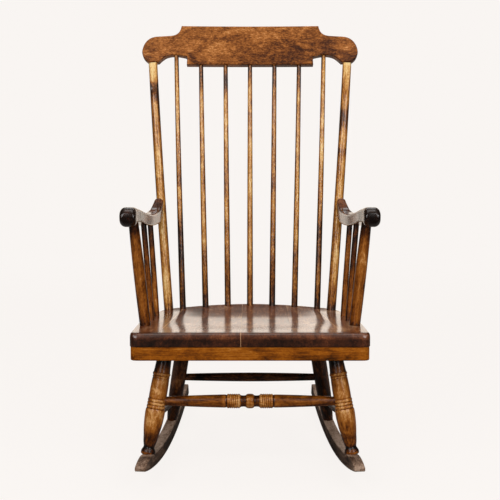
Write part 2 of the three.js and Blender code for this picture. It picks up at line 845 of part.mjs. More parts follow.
const armPosts = sides.map((_, index) => {
  const { from, to, length } = underArmRod(
    index, armPostInset, armPostSetback, armPostSplay, armPostRake,
  );
  const body = profileOf(armPostShares, length, armPostRadius);
  const profile = [
    [-armPostSeatDepth, body[0][1]],
    ...body,
    [length + armPostShoulder, body[body.length - 1][1]],
    [length + armPostShoulder + fit, armPostTenonRadius],
    [length + armPostArmDepth, armPostTenonRadius],
  ];
  return straightRod(from, to, profile, turnSides);
});

const armSpindles = sides.map((_, index) => armSpindleInsets.map((spindleInset, place) => {
  const { from, to, length } = underArmRod(
    index, spindleInset, armSpindleSetbacks[place], armSpindleSplays[place], armSpindleRakes[place],
  );
  const body = profileOf(armSpindleShares, length, armSpindleRadius);
  const profile = [
    [-armSpindleSeatDepth, body[0][1]],
    ...body,
    [length + armSpindleArmDepth, body[body.length - 1][1]],
  ];
  return straightRod(from, to, profile, spindleSides);
}));

function armDowel(index) {
  const [next, rear] = armStations(postCurves[index]).slice(-2);
  const axis = postAt(postCurves[index], (rear.top + rear.low) / 2);
  const target = new THREE.Vector3(sides[index].sign * (next.inner + next.outer) / 2, next.back, axis.z);
  const direction = target.sub(axis).normalize();
  const from = axis.clone().addScaledVector(direction, -dowelPostDepth);
  const to = axis.clone().addScaledVector(direction, postBaseRadius + dowelArmDepth);
  return straightRod(from, to, [[0, dowelRadius], [from.distanceTo(to), dowelRadius]], spindleSides);
}

const armDowels = sides.map((_, index) => armDowel(index));

// Seat boards and front rail, in the tilted seat frame
const seat = new THREE.Group();
seat.applyMatrix4(seatFrame);
group.add(seat);
const intoSeat = [
  ...posts, ...spindles, ...armPosts, ...armSpindles.flat(), ...frontLegs, ...rearLegs,
];
const blank = solidOf(cut(seatBlank(), holesIn(seatFrame, intoSeat)));
const seams = [-seatHalf - overrun, ...boardSeamShares.map((share) => share * seatHalf), seatHalf + overrun];
for (let board = 0; board + 1 < seams.length; board += 1) {
  const low = new THREE.Vector3(seams[board] + fit / 2, -overrun, -seatThickness - overrun);
  const high = new THREE.Vector3(seams[board + 1] - fit / 2, seatDepth + overrun, seatThickness);
  const slice = geometryOf(blank.intersect(solidOf(boxBetween(low, high))));
  add(seat, `seat_board_${board + 1}`, slice, seatWood);
}
add(seat, 'seat_front_rail', seatRail(), railWood);

// Back
const intoCrest = holesIn(crestFrame, [...posts, ...spindles]);
const crest = add(group, 'crest_rail', cut(crestBlank(), intoCrest), crestWood);
crest.applyMatrix4(crestFrame);
spindles.forEach((rod, index) => addRod(`back_spindle_${index + 1}`, rod, [], lightWood));

// The flat planed on the front of each post, below the crest
function postFlat(sign) {
  const half = postBaseRadius + overrun;
  const low = new THREE.Vector3(-half, -half, -postFlatLength);
  const high = new THREE.Vector3(half, postFlatDepth - postTopRadius, postShoulder + fit);
  const frame = crestFrame.clone().setPosition(sign * postTopHalf, postTop.y, postTop.z);
  return { hole: boxBetween(low, high).applyMatrix4(frame) };
}

sides.forEach(({ name, sign }, index) => {
  addRod(`back_post_${name}`, posts[index], [armDowels[index], postFlat(sign)], lightWood);
  const under = [armPosts[index], ...armSpindles[index], posts[index], armDowels[index]];
  const arm = cut(armBlank(sign, postCurves[index]), under.map((rod) => rod.hole));
  add(group, `arm_${name}`, arm, armWood);
  addRod(`arm_dowel_${name}`, armDowels[index], [], lightWood);
  addRod(`arm_post_${name}`, armPosts[index], [], legWood);
  addRod(`arm_spindle_front_${name}`, armSpindles[index][0], [], legWood);
  addRod(`arm_spindle_rear_${name}`, armSpindles[index][1], [], legWood);
  const crossing = [frontStretcher, sideStretchers[index], frontPins[index]];
  addRod(`front_leg_${name}`, frontLegs[index], crossing, legWood);
  const crossingRear = [rearStretcher, sideStretchers[index], rearPins[index]];
  addRod(`rear_leg_${name}`, rearLegs[index], crossingRear, darkWood);
  addRod(`side_stretcher_${name}`, sideStretchers[index], [], darkWood);
  const frame = runnerFrame(sign);
  const feet = [frontLegs[index], rearLegs[index], frontPins[index], rearPins[index]];
  const runner = add(group, `runner_${name}`, cut(runnerBlank(), holesIn(frame, feet)), runnerWood);
  runner.applyMatrix4(frame);
  addRod(`runner_peg_front_${name}`, frontPins[index], [], legWood);
  addRod(`runner_peg_rear_${name}`, rearPins[index], [], legWood);
});
addRod('front_stretcher', frontStretcher, [], legWood);
addRod('rear_stretcher', rearStretcher, [], darkWood);

// The origin goes to the floor, under the middle of the chair's box
const box = new THREE.Box3().setFromObject(group, true);
const centre = box.getCenter(new THREE.Vector3());
group.position.set(-centre.x, -centre.y, -box.min.z);

export default group;
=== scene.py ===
"""A high-backed rocking chair of turned, bent and sawn wood, built over its fixed frame."""

import json
from bisect import bisect_right
from math import atan2, ceil, copysign, cos, hypot, pi, radians, sin, sqrt

import bmesh
import bpy
from bpy.props import FloatProperty, FloatVectorProperty, IntProperty, PointerProperty
from mathutils import Matrix, Vector


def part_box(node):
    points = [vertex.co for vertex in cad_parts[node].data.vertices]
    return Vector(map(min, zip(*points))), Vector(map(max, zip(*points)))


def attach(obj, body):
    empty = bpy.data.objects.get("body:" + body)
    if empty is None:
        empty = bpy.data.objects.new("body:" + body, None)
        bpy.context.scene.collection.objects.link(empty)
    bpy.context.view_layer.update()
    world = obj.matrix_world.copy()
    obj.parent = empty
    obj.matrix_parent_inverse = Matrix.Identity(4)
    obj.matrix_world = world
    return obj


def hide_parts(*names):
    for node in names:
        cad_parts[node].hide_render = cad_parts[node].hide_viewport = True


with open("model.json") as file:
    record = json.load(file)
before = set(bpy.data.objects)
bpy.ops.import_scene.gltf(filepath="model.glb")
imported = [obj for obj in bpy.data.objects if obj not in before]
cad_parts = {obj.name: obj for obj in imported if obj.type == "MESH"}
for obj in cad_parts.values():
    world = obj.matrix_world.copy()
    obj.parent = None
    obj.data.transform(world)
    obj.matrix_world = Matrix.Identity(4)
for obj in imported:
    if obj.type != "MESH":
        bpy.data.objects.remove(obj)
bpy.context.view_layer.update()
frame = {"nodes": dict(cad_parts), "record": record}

bl_info = {
    "name": "Rocking Chair",
    "version": (1, 0, 0),
    "blender": (4, 5, 0),
    "location": "View3D > Sidebar > Rocking Chair",
    "description": "Builds a high-backed rocking chair in stained and worn wood",
    "category": "Object",
}

SIDES = (("left", -1), ("right", 1))
ACROSS = Vector((1, 0, 0))
BACK = Vector((0, 1, 0))
UP = Vector((0, 0, 1))
# Points that lie nearer to each other count as one
CLOSE = 1e-6


# Sizes and colours that a user would change, each labelled after its field

def length(value, about):
    return FloatProperty, {"default": value, "description": about, "precision": 4, "unit": "LENGTH"}


def share(value, about, low=0):
    return FloatProperty, {
        "default": value, "description": about, "min": low, "soft_max": 1, "subtype": "FACTOR",
    }


def signed_share(value, about):
    return share(value, about, -1)


def angle(degrees, about):
    return FloatProperty, {"default": radians(degrees), "description": about, "subtype": "ANGLE"}


def power(value, about):
    return FloatProperty, {"default": value, "description": about, "unit": "POWER"}


def colour(value, about):
    tint = tuple(part / 255 for part in value)
    return FloatVectorProperty, {
        "default": tint, "description": about, "min": 0, "max": 1, "subtype": "COLOR_GAMMA",
    }


def labelled(group):
    """Makes the properties of a group, each named after its field"""
    for field, (kind, settings) in group.__annotations__.items():
        group.__annotations__[field] = kind(name=field.replace("_", " ").capitalize(), **settings)
    return group


@labelled
class SeatSizes(bpy.types.PropertyGroup):
    """Sizes of the seat boards and of the rail under their front edge"""

    width: length(0.554, "Seat across its front edge")
    depth: length(0.487, "Seat from front to back")
    thickness: length(0.033, "Thickness of the boards")
    height: length(0.3625, "Front edge above the floor")
    tilt: angle(4.8, "Fall of the seat towards the back")
    corner: length(0.018, "Rounding of the front corners in plan")
    side_run: length(0.155, "Straight part of the sides")
    shoulder_inset: length(0.027, "How far the sides draw in at the rear shoulders")
    shoulder_setback: length(0.084, "Rear shoulders before the rear edge")
    rear_inset: length(0.077, "How far the ends of the rear edge are drawn in")
    rear_setback: length(0.033, "Ends of the rear edge before its middle")
    top_round: length(0.012, "Rounding of the upper rim")
    under_round: length(0.003, "Rounding of the lower rim")
    side_fill: share(0.6, "How much squarer the rim is at the sides")
    saddle_depth: length(0.009, "Depth of the hollow to sit in")
    saddle_front: length(0.424, "Width of the hollow at the front")
    saddle_rear: length(0.362, "Width of the hollow at the back")
    front_fade: length(0.22, "Slope of the hollow at the front")
    rear_fade: length(0.11, "Slope of the hollow at the back")
    rear_margin: length(0.052, "Level wood behind the hollow")
    roll_rise: length(0.014, "How far the rear edge rolls up")
    roll_length: length(0.102, "Length of the rear roll")
    seams: (FloatVectorProperty, {
        "default": (-0.447, -0.077, 0.363), "description": "Places of the seams, as shares of half the width",
    })
    seam_gap: length(0.0003, "Gap at a glued seam")
    step: length(0.009, "Size of the faces that carry the hollow")
    rail_height: length(0.031, "Height of the front rail")
    rail_depth: length(0.03, "Front rail from front to back")
    rail_inset: length(0.0015, "Front rail behind the seat's edge")
    rail_round: length(0.0028, "Rounding of the rail's lower edges")


@labelled
class BackSizes(bpy.types.PropertyGroup):
    """Sizes of the bent posts and spindles and of the crest rail"""

    post_seat: length(0.023, "Post inside the seat")
    post_tenon: length(0.044, "Post inside the crest rail")
    post_tenon_radius: length(0.007, "Radius of a post inside the crest rail")
    post_base: length(0.0126, "Radius of a post at the seat")
    post_top: length(0.0121, "Radius of a post at the crest rail")
    post_shoulder: length(0.0057, "Body of a post past the end of its curve")
    flat_depth: length(0.0035, "Depth of the flat planed on a post")
    flat_length: length(0.07, "Length of that flat")
    flat_fade: length(0.022, "Length over which the flat runs out")
    spindle_seat: length(0.02, "Spindle inside the seat")
    spindle_crest: length(0.024, "Spindle inside the crest rail")
    outer_spindle_crest: length(0.0086, "The same for the two spindles under the arches")
    spindle_base: length(0.0086, "Radius of a spindle at the seat")
    spindle_top: length(0.0061, "Radius of a spindle at the crest rail")
    crest_height: length(0.114, "Height of the crest rail along its face")
    crest_thickness: length(0.024, "Thickness of the crest rail")
    crest_bow: length(0.028, "How far the crest rail bows back")
    crest_ear: length(0.0295, "Reach of each ear past its post")
    crest_arch: length(0.093, "From a post to the middle block")
    crest_round: length(0.0035, "Rounding of the crest rail's edges")


@labelled
class ArmSizes(bpy.types.PropertyGroup):
    """Sizes of the arms and of what stands under them"""

    roll_height: length(0.046, "Height of the rolled front end")
    roll_width: length(0.0395, "Width of the rolled front end")
    thickness: length(0.031, "Thickness behind the roll")
    dip: length(0.044, "How far the top dips behind the roll")
    rear_width: length(0.025, "Width at the post")
    rear_inset: length(0.005, "Inner side past the middle of the post")
    roll_round: length(0.0135, "Rounding of the roll's edges")
    edge_round: length(0.0055, "Rounding of the edges behind the roll")
    post_radius: length(0.0139, "Radius of the turned arm post")
    post_seat: length(0.022, "Arm post inside the seat")
    post_arm: length(0.022, "Arm post inside the arm")
    post_tenon: length(0.0075, "Radius of the arm post inside the arm")
    post_shoulder: length(0.0025, "Body of the arm post inside the arm")
    spindle_radius: length(0.0075, "Radius of the spindles under the arm")
    spindle_seat: length(0.018, "Arm spindle inside the seat")
    spindle_arm: length(0.015, "Arm spindle inside the arm")


@labelled
class BaseSizes(bpy.types.PropertyGroup):
    """Sizes of the legs, stretchers and runners"""

    front_leg: length(0.0236, "Greatest radius of a front leg")
    rear_leg: length(0.0195, "Greatest radius of a rear leg")
    foot_tenon: length(0.02, "Leg inside its runner")
    foot_radius: length(0.0076, "Radius of a leg inside its runner")
    foot_seat: length(0.0012, "How far a foot is let into its runner")
    leg_tenon: length(0.024, "Leg inside the seat")
    leg_tenon_radius: length(0.0126, "Radius of a leg inside the seat")
    leg_neck: length(0.006, "Tenon that shows under the seat")
    front_stretcher: length(0.0174, "Greatest radius of the front stretcher")
    rear_stretcher: length(0.0118, "Greatest radius of the rear stretcher")
    side_stretcher: length(0.0128, "Greatest radius of a side stretcher")
    reeds: (IntProperty, {"default": 6, "description": "Reeds in each band of the front stretcher"})
    runner_radius: length(1.114, "Radius of the curve that the chair rocks on")
    runner_height: length(0.0312, "Height of a runner")
    runner_thickness: length(0.028, "Thickness of a runner")
    runner_toe: angle(5.1, "Turn of each runner outwards at the front")
    runner_front: length(0.346, "Runner before the place it stands on")
    runner_rear: length(0.313, "Runner behind the place it stands on")
    runner_nose: length(0.078, "Slope of the runner's front end")
    runner_tip: length(0.005, "Rounding under the runner's front end")
    nose_narrow: length(0.0022, "How far the outer side of the nose is worn in")
    runner_heel: length(0.0025, "Rounding of the runner's rear end")
    runner_round: length(0.0022, "Rounding of the runner's edges")
    runner_contact: length(0.2827, "Place it stands on, behind the seat's front edge")
    peg_radius: length(0.0029, "Radius of the pegs through the runners")


@labelled
class StageSizes(bpy.types.PropertyGroup):
    """Place of the camera and strength of the lights"""

    distance: length(2.1263, "Camera before the seat's front edge")
    height: length(0.863, "Camera above the floor")
    pitch: angle(8.25, "How far the camera looks down")
    lens: (FloatProperty, {"default": 68.56, "description": "Focal length in millimetres"})
    paper: colour((249, 245, 242), "Floor and background")
    sheen: colour((255, 241, 226), "What the gloss of the wood mirrors")
    key: power(40, "Power of each front softbox")
    side: power(10, "Power of each side softbox")
    rear: power(14, "Power of the softbox above the back")
    top: power(8, "Power of the softbox overhead")
    shadow: share(0.2, "How much of the floor's look is its shade")
    floor_shade: share(0.36, "How pale the floor is to the chair")
    floor_glow: (FloatProperty, {"default": 1.19, "description": "Levels the floor with the background"})
    clear: length(3.2, "Past this distance the floor is as plain as the background")


# Finishes: from the deepest to the palest colour, then gloss, figure and wear

FINISH_FIELDS = (
    # The deep end of these colours also takes painted shade, and the pale end painted highlights
    ("deep", colour, "Stain in the grooves"),
    ("dark", colour, "Dark figure"),
    ("middle", colour, "Most of the surface"),
    ("light", colour, "Light figure"),
    ("pale", colour, "Rubbed edges"),
    ("rough", share, "Roughness of the wood under the varnish"),
    ("shine", share, "Strength of the soft shine under the varnish"),
    ("coat", share, "Strength of the varnish"),
    ("coat_rough", share, "Roughness of the varnish"),
    ("mottle", share, "Contrast of the broad mottling"),
    ("swirl", share, "How far the mottling swirls"),
    ("streak", share, "Contrast of the streaks along the grain"),
    ("fleck", share, "Contrast of the fine flecks"),
    ("flare", share, "How much lighter the worn patches are"),
    ("rub", signed_share, "How much lighter the rubbed edges are"),
    ("dirt", share, "How much darker the stained places are"),
)
FINISHES = {
    "seat_wood": (
        (14, 5, 2), (44, 20, 8), (82, 41, 20), (126, 70, 38), (206, 160, 118),
        0.36, 0.2, 1, 0.18, 0.4, 0.5, 0.35, 0.3, 0.2, 0.4, 0.5,
    ),
    "rail_wood": (
        (44, 20, 0), (92, 45, 2), (134, 70, 4), (166, 93, 14), (190, 124, 50),
        0.5, 0.12, 0.06, 0.25, 0.6, 0.5, 0.6, 0.6, 0.15, 0.1, 0.4,
    ),
    # The crest's rub is below zero, so its rounded edges are painted darker, as shade
    "crest_wood": (
        (34, 18, 10), (88, 46, 20), (138, 79, 31), (184, 114, 54), (226, 166, 104),
        0.46, 0.12, 0.12, 0.25, 0.6, 1.2, 0.22, 1.1, 0.2, -0.3, 0.5,
    ),
    "back_wood": (
        (22, 10, 4), (80, 42, 16), (162, 98, 34), (216, 154, 74), (250, 214, 146),
        0.34, 0.3, 0.65, 0.12, 0.45, 0.5, 0.6, 0.8, 0.25, 0.2, 0.5,
    ),
    "arm_wood": (
        (3, 1, 0), (11, 4, 2), (26, 11, 5), (64, 29, 14), (140, 84, 52),
        0.4, 0.12, 0.9, 0.12, 0.5, 0.6, 0.3, 0.2, 0.3, 0.3, 0.4,
    ),
    "turned_wood": (
        (12, 4, 1), (72, 32, 4), (134, 73, 15), (172, 104, 36), (226, 170, 104),
        0.36, 0.15, 0.45, 0.25, 0.6, 1, 0.4, 0.6, 0.08, 0.4, 0.5,
    ),
    # Wood of the rear legs and stretchers, set darker to paint the shade that the seat casts on them
    "dark_wood": (
        (3, 1, 0), (22, 9, 2), (60, 28, 9), (100, 57, 25), (136, 92, 54),
        0.42, 0.1, 0.35, 0.2, 0.8, 1, 0.4, 0.7, 0.3, 0.3, 0.4,
    ),
    "runner_wood": (
        (20, 12, 7), (54, 36, 25), (92, 69, 53), (136, 109, 90), (180, 152, 132),
        0.56, 0.2, 0.08, 0.3, 0.5, 1, 0.5, 1, 0.3, 0.3, 0.5,
    ),
}


def finish_group(slot, values):
    fields = {field: kind(value, about) for (field, kind, about), value in zip(FINISH_FIELDS, values)}
    settings = {"__annotations__": fields, "__doc__": "Colours, gloss and figure of one wood"}
    return labelled(type(f"{slot}_finish", (bpy.types.PropertyGroup,), settings))


# Soft lines and outlines

def even(low, high, step):
    count = max(1, ceil(abs(high - low) / step))
    return [low + (high - low) * index / count for index in range(count + 1)]


def clamp(value, low=0, high=1):
    return min(max(value, low), high)


def ease(value):
    held = clamp(value)
    return held * held * (3 - 2 * held)


def blend(low, high, amount):
    return low + (high - low) * amount


def through(points):
    """A soft line through the points that overshoots none of them, as a function of their first number"""
    places, values = zip(*points)
    slopes = [(values[i + 1] - values[i]) / (places[i + 1] - places[i]) for i in range(len(points) - 1)]
    inner = [2 * a * b / (a + b) if a * b > 0 else 0 for a, b in zip(slopes, slopes[1:])]
    leans = [slopes[0], *inner, slopes[-1]]

    def value_at(place):
        index = int(clamp(bisect_right(places, place) - 1, 0, len(slopes) - 1))
        gap = places[index + 1] - places[index]
        t = clamp((place - places[index]) / gap)
        near = values[index] * (1 + 2 * t) + leans[index] * gap * t
        far = values[index + 1] * (3 - 2 * t) + leans[index + 1] * gap * (t - 1)
        return near * (1 - t) ** 2 + far * t ** 2

    return value_at


def soft(points, steps):
    line = through(points)
    start, end = points[0][0], points[-1][0]
    return [(place, line(place)) for place in even(start, end, (end - start) / steps)]


def bead(start, end, low, high, steps=8):
    """Half round ring between two places along a rod"""
    middle, reach = (start + end) / 2, (end - start) / 2
    turns = [pi * index / steps for index in range(steps + 1)]
    return [(middle - reach * cos(turn), low + (high - low) * sin(turn)) for turn in turns]


def scaled(points, reach, radius):
    return [(along * reach, out * radius) for along, out in points]


def curve_point(points, amount):
    while len(points) > 1:
        points = [near.lerp(far, amount) for near, far in zip(points, points[1:])]
    return points[0]


def drawn(start, lines, step):
    """Points along a run of straight and curved lines, each given by its further control points"""
    path = []
    for further in lines:
        line = [Vector(start), *(Vector(point) for point in further)]
        start = line[-1]
        reach = sum((far - near).length for near, far in zip(line, line[1:]))
        count = 1 if len(line) == 2 else max(3, ceil(reach / step))
        path += [curve_point(line, index / count) for index in range(count)]
    return [*path, start]


def both_halves(right):
    left = [Vector((-point.x, point.y)) for point in reversed(right) if abs(point.x) > CLOSE]
    return [*right, *left]


# Blanks

def every(bm):
    return [*bm.verts, *bm.edges, *bm.faces]


def carry(bm, matrix):
    bmesh.ops.transform(bm, matrix=matrix, verts=bm.verts)


def cut(bm, point, normal, **settings):
    """Cuts the blank along a plane"""
    return bmesh.ops.bisect_plane(bm, geom=every(bm), plane_co=point, plane_no=normal, **settings)["geom_cut"]


def lattice(bm, way, low, high, step):
    """Cuts the blank across a direction at even places, so that it can bend"""
    for spot in even(low, high, step)[1:-1]:
        cut(bm, way * spot, way, dist=CLOSE)


def edges_at(bm, height):
    return [edge for edge in bm.edges if all(abs(vert.co.z - height) < CLOSE for vert in edge.verts)]


def round_edges(bm, edges, reach, segments):
    bmesh.ops.bevel(
        bm, geom=edges, offset=reach, segments=segments, profile=0.5, affect="EDGES", material=-1,
    )


def turned(profile, sides):
    """Closed blank turned round Z through the profile's places and radii"""
    bm = bmesh.new()
    line = [(profile[0][0], 0), *profile, (profile[-1][0], 0)]
    verts = [bm.verts.new((radius, 0, along)) for along, radius in line]
    edges = [bm.edges.new(pair) for pair in zip(verts, verts[1:])]
    bmesh.ops.spin(
        bm, geom=[*verts, *edges], cent=(0, 0, 0), axis=UP, angle=2 * pi, steps=sides, use_merge=True,
    )
    bmesh.ops.remove_doubles(bm, verts=bm.verts, dist=CLOSE)
    bmesh.ops.recalc_face_normals(bm, faces=bm.faces)
    return bm


def sawn(outline, depth, rounds):
    """Board sawn to an outline in X and Y, down from Z zero, with its upper and lower rim rounded"""
    bm = bmesh.new()
    face = bm.faces.new([bm.verts.new((point.x, point.y, 0)) for point in outline])
    made = bmesh.ops.extrude_face_region(bm, geom=[face])["geom"]
    lower = [item for item in made if isinstance(item, bmesh.types.BMVert)]
    bmesh.ops.translate(bm, verts=lower, vec=(0, 0, -depth))
    bmesh.ops.recalc_face_normals(bm, faces=bm.faces)
    for height, (reach, segments) in zip((0, -depth), rounds):
        round_edges(bm, edges_at(bm, height), reach, segments)
    return bm


def lofted(rings):
    """Closed skin bridged over rings of points"""
    bm = bmesh.new()
    loops = []
    for ring in rings:
        verts = [bm.verts.new(point) for point in ring]
        loops.append((verts, [bm.edges.new(pair) for pair in zip(verts, verts[1:] + verts[:1])]))
    for (_, near), (_, far) in zip(loops, loops[1:]):
        bmesh.ops.bridge_loops(bm, edges=near + far)
    for verts, _ in (loops[0], loops[-1]):
        bm.faces.new(verts)
    bmesh.ops.recalc_face_normals(bm, faces=bm.faces)
    return bm


# Notes on every point of a blank: its place in the timber, where it is worn or stained, and the painted shade
# and highlights it carries

TIMBER_ALONG_X = Matrix(((0, 1, 0), (0, 0, 1), (1, 0, 0)))
TIMBER_ALONG_Y = Matrix(((0, 0, 1), (1, 0, 0), (0, 1, 0)))
TIMBER_ALONG_Z = Matrix.Identity(3)
# A turned point nearer to the axis than this is the middle of an end
CORE = 1e-4
# How much lighter the front of a rod is painted, as a highlight
FRONT_HIGHLIGHT = 0.7


def note_grain(bm, turn, number):
    """Keeps each point's place in its own timber, the grain along Z, before the blank is bent or placed"""
    layer = bm.verts.layers.float_vector.new("grain")
    start = Vector((0.37 * number + 0.11, 0.23 * number + 0.05, 0.53 * number))
    for vert in bm.verts:
        vert[layer] = turn @ vert.co + start


def note_use(bm, tone, gain=2.2):
    """Marks edges as worn and corners as stained, from how the surface turns there"""
    worn = bm.verts.layers.float.new("worn")
    stain = bm.verts.layers.float.new("stain")
    bm.normal_update()
    for vert in bm.verts:
        ways = [(edge.other_vert(vert).co - vert.co).normalized() for edge in vert.link_edges]
        bend = sum(way.dot(vert.normal) for way in ways) / len(ways) * gain
        vert[worn] = clamp(-bend)
        vert[stain] = clamp(bend) + tone(vert.co)


def note_turning(bm, profile, tone, flank, reach=0.007, gain=0.0014):
    """Marks rings as worn, grooves as stained, the flanks as darker and the rubbed front as lighter"""
    worn = bm.verts.layers.float.new("worn")
    stain = bm.verts.layers.float.new("stain")
    relief = {}
    for vert in bm.verts:
        along, radius = vert.co.z, hypot(vert.co.x, vert.co.y)
        vert[stain] = tone(along)
        if radius < CORE:
            continue
        key = (round(along, 6), round(radius, 6))
        if key not in relief:
            near = [out for place, out in profile if abs(place - along) < reach]
            relief[key] = (radius - sum(near) / len(near)) / gain if near else 0
        aside = abs(vert.co.x) / radius
        # The front of the rod is painted lighter as a highlight, and the flanks, aside, darker as shade
        rubbed = clamp(-vert.co.y / radius) ** 3
        vert[worn] = clamp(relief[key])
        vert[stain] += clamp(-relief[key]) + flank * (aside ** 3 - rubbed * FRONT_HIGHLIGHT)


# Finished pieces

def linked(name, data):
    item = bpy.data.objects.new(name, data)
    bpy.context.scene.collection.objects.link(item)
    return item


def place(bm, node, slot, sharp=38):
    """Turns a blank into the finished piece that stands for its solid"""
    mesh = bpy.data.meshes.new(node)
    bm.to_mesh(mesh)
    bm.free()
    mesh.shade_smooth()
    mesh.set_sharp_from_angle(angle=radians(sharp))
    mesh.materials.append(wood(slot))
    piece = linked(f"{node}.wood", mesh)
    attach(piece, "root")
    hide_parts(node)
    return piece


def place_board(bm, node, slot):
    """The same for a board, whose large faces then shade flat beside their rounded edges"""
    modifier = place(bm, node, slot).modifiers.new("Flat faces", "WEIGHTED_NORMAL")
    modifier.keep_sharp = True


# Rods, on the axes of their solids

def rod_end(node, way):
    """Middle of the flat end of a solid rod on one side, and that end's outward direction"""
    mesh = frame["nodes"][node].data
    end = max(mesh.polygons, key=lambda face: face.center.dot(way))
    points = {
        tuple(round(part, 6) for part in vert.co) for vert in mesh.vertices
        if abs((vert.co - end.center).dot(end.normal)) < 10 * CLOSE
    }
    middle = sum((Vector(point) for point in points), Vector((0, 0, 0))) / len(points)
    return middle, end.normal.copy()


def straight_rod(node, way, before, after, profile_of, slot, number, tones, sides=32, flank=0):
    """Turns a straight piece and sets it on its solid's axis, where its body is from before to after"""
    start, _ = rod_end(node, -way)
    end, _ = rod_end(node, way)
    direction = (end - start).normalized()
    start, end = start + direction * before, end - direction * after
    reach = (end - start).length
    profile = profile_of(reach)
    bm = turned(profile, sides)
    note_grain(bm, TIMBER_ALONG_Z, number)
    tone = through(tones)
    note_turning(bm, profile, lambda along: tone(along / reach), flank)
    turn = UP.rotation_difference(end - start).to_matrix().to_4x4()
    carry(bm, Matrix.Translation(start) @ turn)
    place(bm, node, slot)


def bent_axis(node, before, after):
    """Three points of the curve that a bent rod follows, from the directions of its two ends"""
    low, down = rod_end(node, -UP)
    high, rise = rod_end(node, UP)
    start = low - down * before
    end = high - rise * after
    middle = start - down * ((end.z - start.z) / 2 / -down.z)
    return [start, middle, end]


def curve_slope(points, amount):
    near, middle, far = points
    return ((middle - near) * (1 - amount) + (far - middle) * amount).normalized()


def curve_table(points, steps=160):
    """Lengths along a curve at even amounts"""
    reach = [0]
    for index in range(steps):
        near = curve_point(points, index / steps)
        reach.append(reach[-1] + (curve_point(points, (index + 1) / steps) - near).length)
    return reach


def bend(bm, points):
    """Bends a straight rod so that its axis follows the curve, straight on past both ends"""
    table = curve_table(points)
    steps = len(table) - 1
    for vert in bm.verts:
        along = clamp(vert.co.z, 0, table[-1])
        index = int(clamp(bisect_right(table, along) - 1, 0, steps - 1))
        amount = (index + (along - table[index]) / (table[index + 1] - table[index])) / steps
        slope = curve_slope(points, amount)
        side = (ACROSS - slope * ACROSS.dot(slope)).normalized()
        back = slope.cross(side)
        past = vert.co.z - along
        vert.co = curve_point(points, amount) + slope * past + side * vert.co.x + back * vert.co.y


# Shader maths

class Value:
    """One socket of a shader, with the sums that the materials use"""

    def __init__(self, shader, socket):
        self.shader = shader
        self.socket = socket

    def sum(self, operation, *others):
        return self.shader.add("Math", dict(enumerate((self, *others))), operation=operation)

    def __add__(self, other):
        return self.sum("ADD", other)

    __radd__ = __add__

    def __sub__(self, other):
        return self.sum("SUBTRACT", other)

    def __rsub__(self, other):
        return self.shader.add("Math", {0: other, 1: self}, operation="SUBTRACT")

    def __mul__(self, other):
        return self.sum("MULTIPLY", other)

    __rmul__ = __mul__

    def held(self):
        return self.shader.add("Math", {0: self, 1: 0}, operation="ADD", use_clamp=True)

    def between(self, low, high):
        """Softly from zero at the low value to one at the high value"""
        return self.shader.add("MapRange", {"Value": self, 1: low, 2: high}, interpolation_type="SMOOTHSTEP")


class Shader:
    """Adds nodes to the shader of a material or of the world"""

    def __init__(self, owner):
        owner.use_nodes = True
        self.tree = owner.node_tree
        self.tree.nodes.clear()

    def add(self, kind, values=(), output=0, **settings):
        """One output of a new node: its settings are made first, then its sockets' values or links"""
        node = self.tree.nodes.new(f"ShaderNode{kind}")
        for name, setting in settings.items():
            if name == "stops":
                self.set_stops(node.color_ramp, setting)
            else:
                setattr(node, name, setting)
        for name, value in dict(values).items():
            if isinstance(value, Value):
                self.tree.links.new(value.socket, node.inputs[name])
            else:
                node.inputs[name].default_value = value
        return Value(self, node.outputs[output]) if node.outputs else node

    def set_stops(self, ramp, stops):
        while len(ramp.elements) < len(stops):
            ramp.elements.new(1)
        for element, (position, tint) in zip(ramp.elements, stops):
            element.position = position
            element.color = tint

    def attribute(self, name, output=2):
        return self.add("Attribute", {}, output, attribute_name=name)

    def noise(self, grain, stretch, scale, detail, roughness=0.55, distortion=0):
        """Noise drawn out along the grain"""
        vector = self.add("VectorMath", {0: grain, 1: (1, 1, stretch)}, operation="MULTIPLY")
        return self.add("TexNoise", {
            "Vector": vector, "Scale": scale, "Detail": detail, "Roughness": roughness,
            "Distortion": distortion,
        })

    def glow(self, tint, strength=1, kind="Emission"):
        return self.add(kind, {"Color": tint, "Strength": strength})

    def mixed(self, amount, first, second):
        return self.add("MixShader", {0: amount, 1: first, 2: second})


def linear(tint):
    parts = [part / 12.92 if part <= 0.04045 else ((part + 0.055) / 1.055) ** 2.4 for part in tint]
    return (*parts, 1)


TINT_STOPS = (0.02, 0.27, 0.5, 0.73, 1)
BUMP_DEPTH = 0.0004
SCRIBE_HALF = 0.0006
SCRIBE_EDGE = 0.0016
SEAM_HALF = 0.0003
SEAM_EDGE = 0.001
PALE_LINE = 0.9


def pale_lines(shader):
    """The scribed line round the saddle and the glued seams, rubbed pale"""
    saddle = shader.attribute("saddle")
    seam = shader.attribute("seam")
    saddle_highlight = saddle.between(-SCRIBE_EDGE, -SCRIBE_HALF) * (1 - saddle.between(SCRIBE_HALF, SCRIBE_EDGE))
    top = shader.attribute("top")
    glued = (1 - seam.between(SEAM_HALF, SEAM_EDGE)) * (0.8 - top * 0.5)
    return (saddle_highlight * top + glued).held() * PALE_LINE


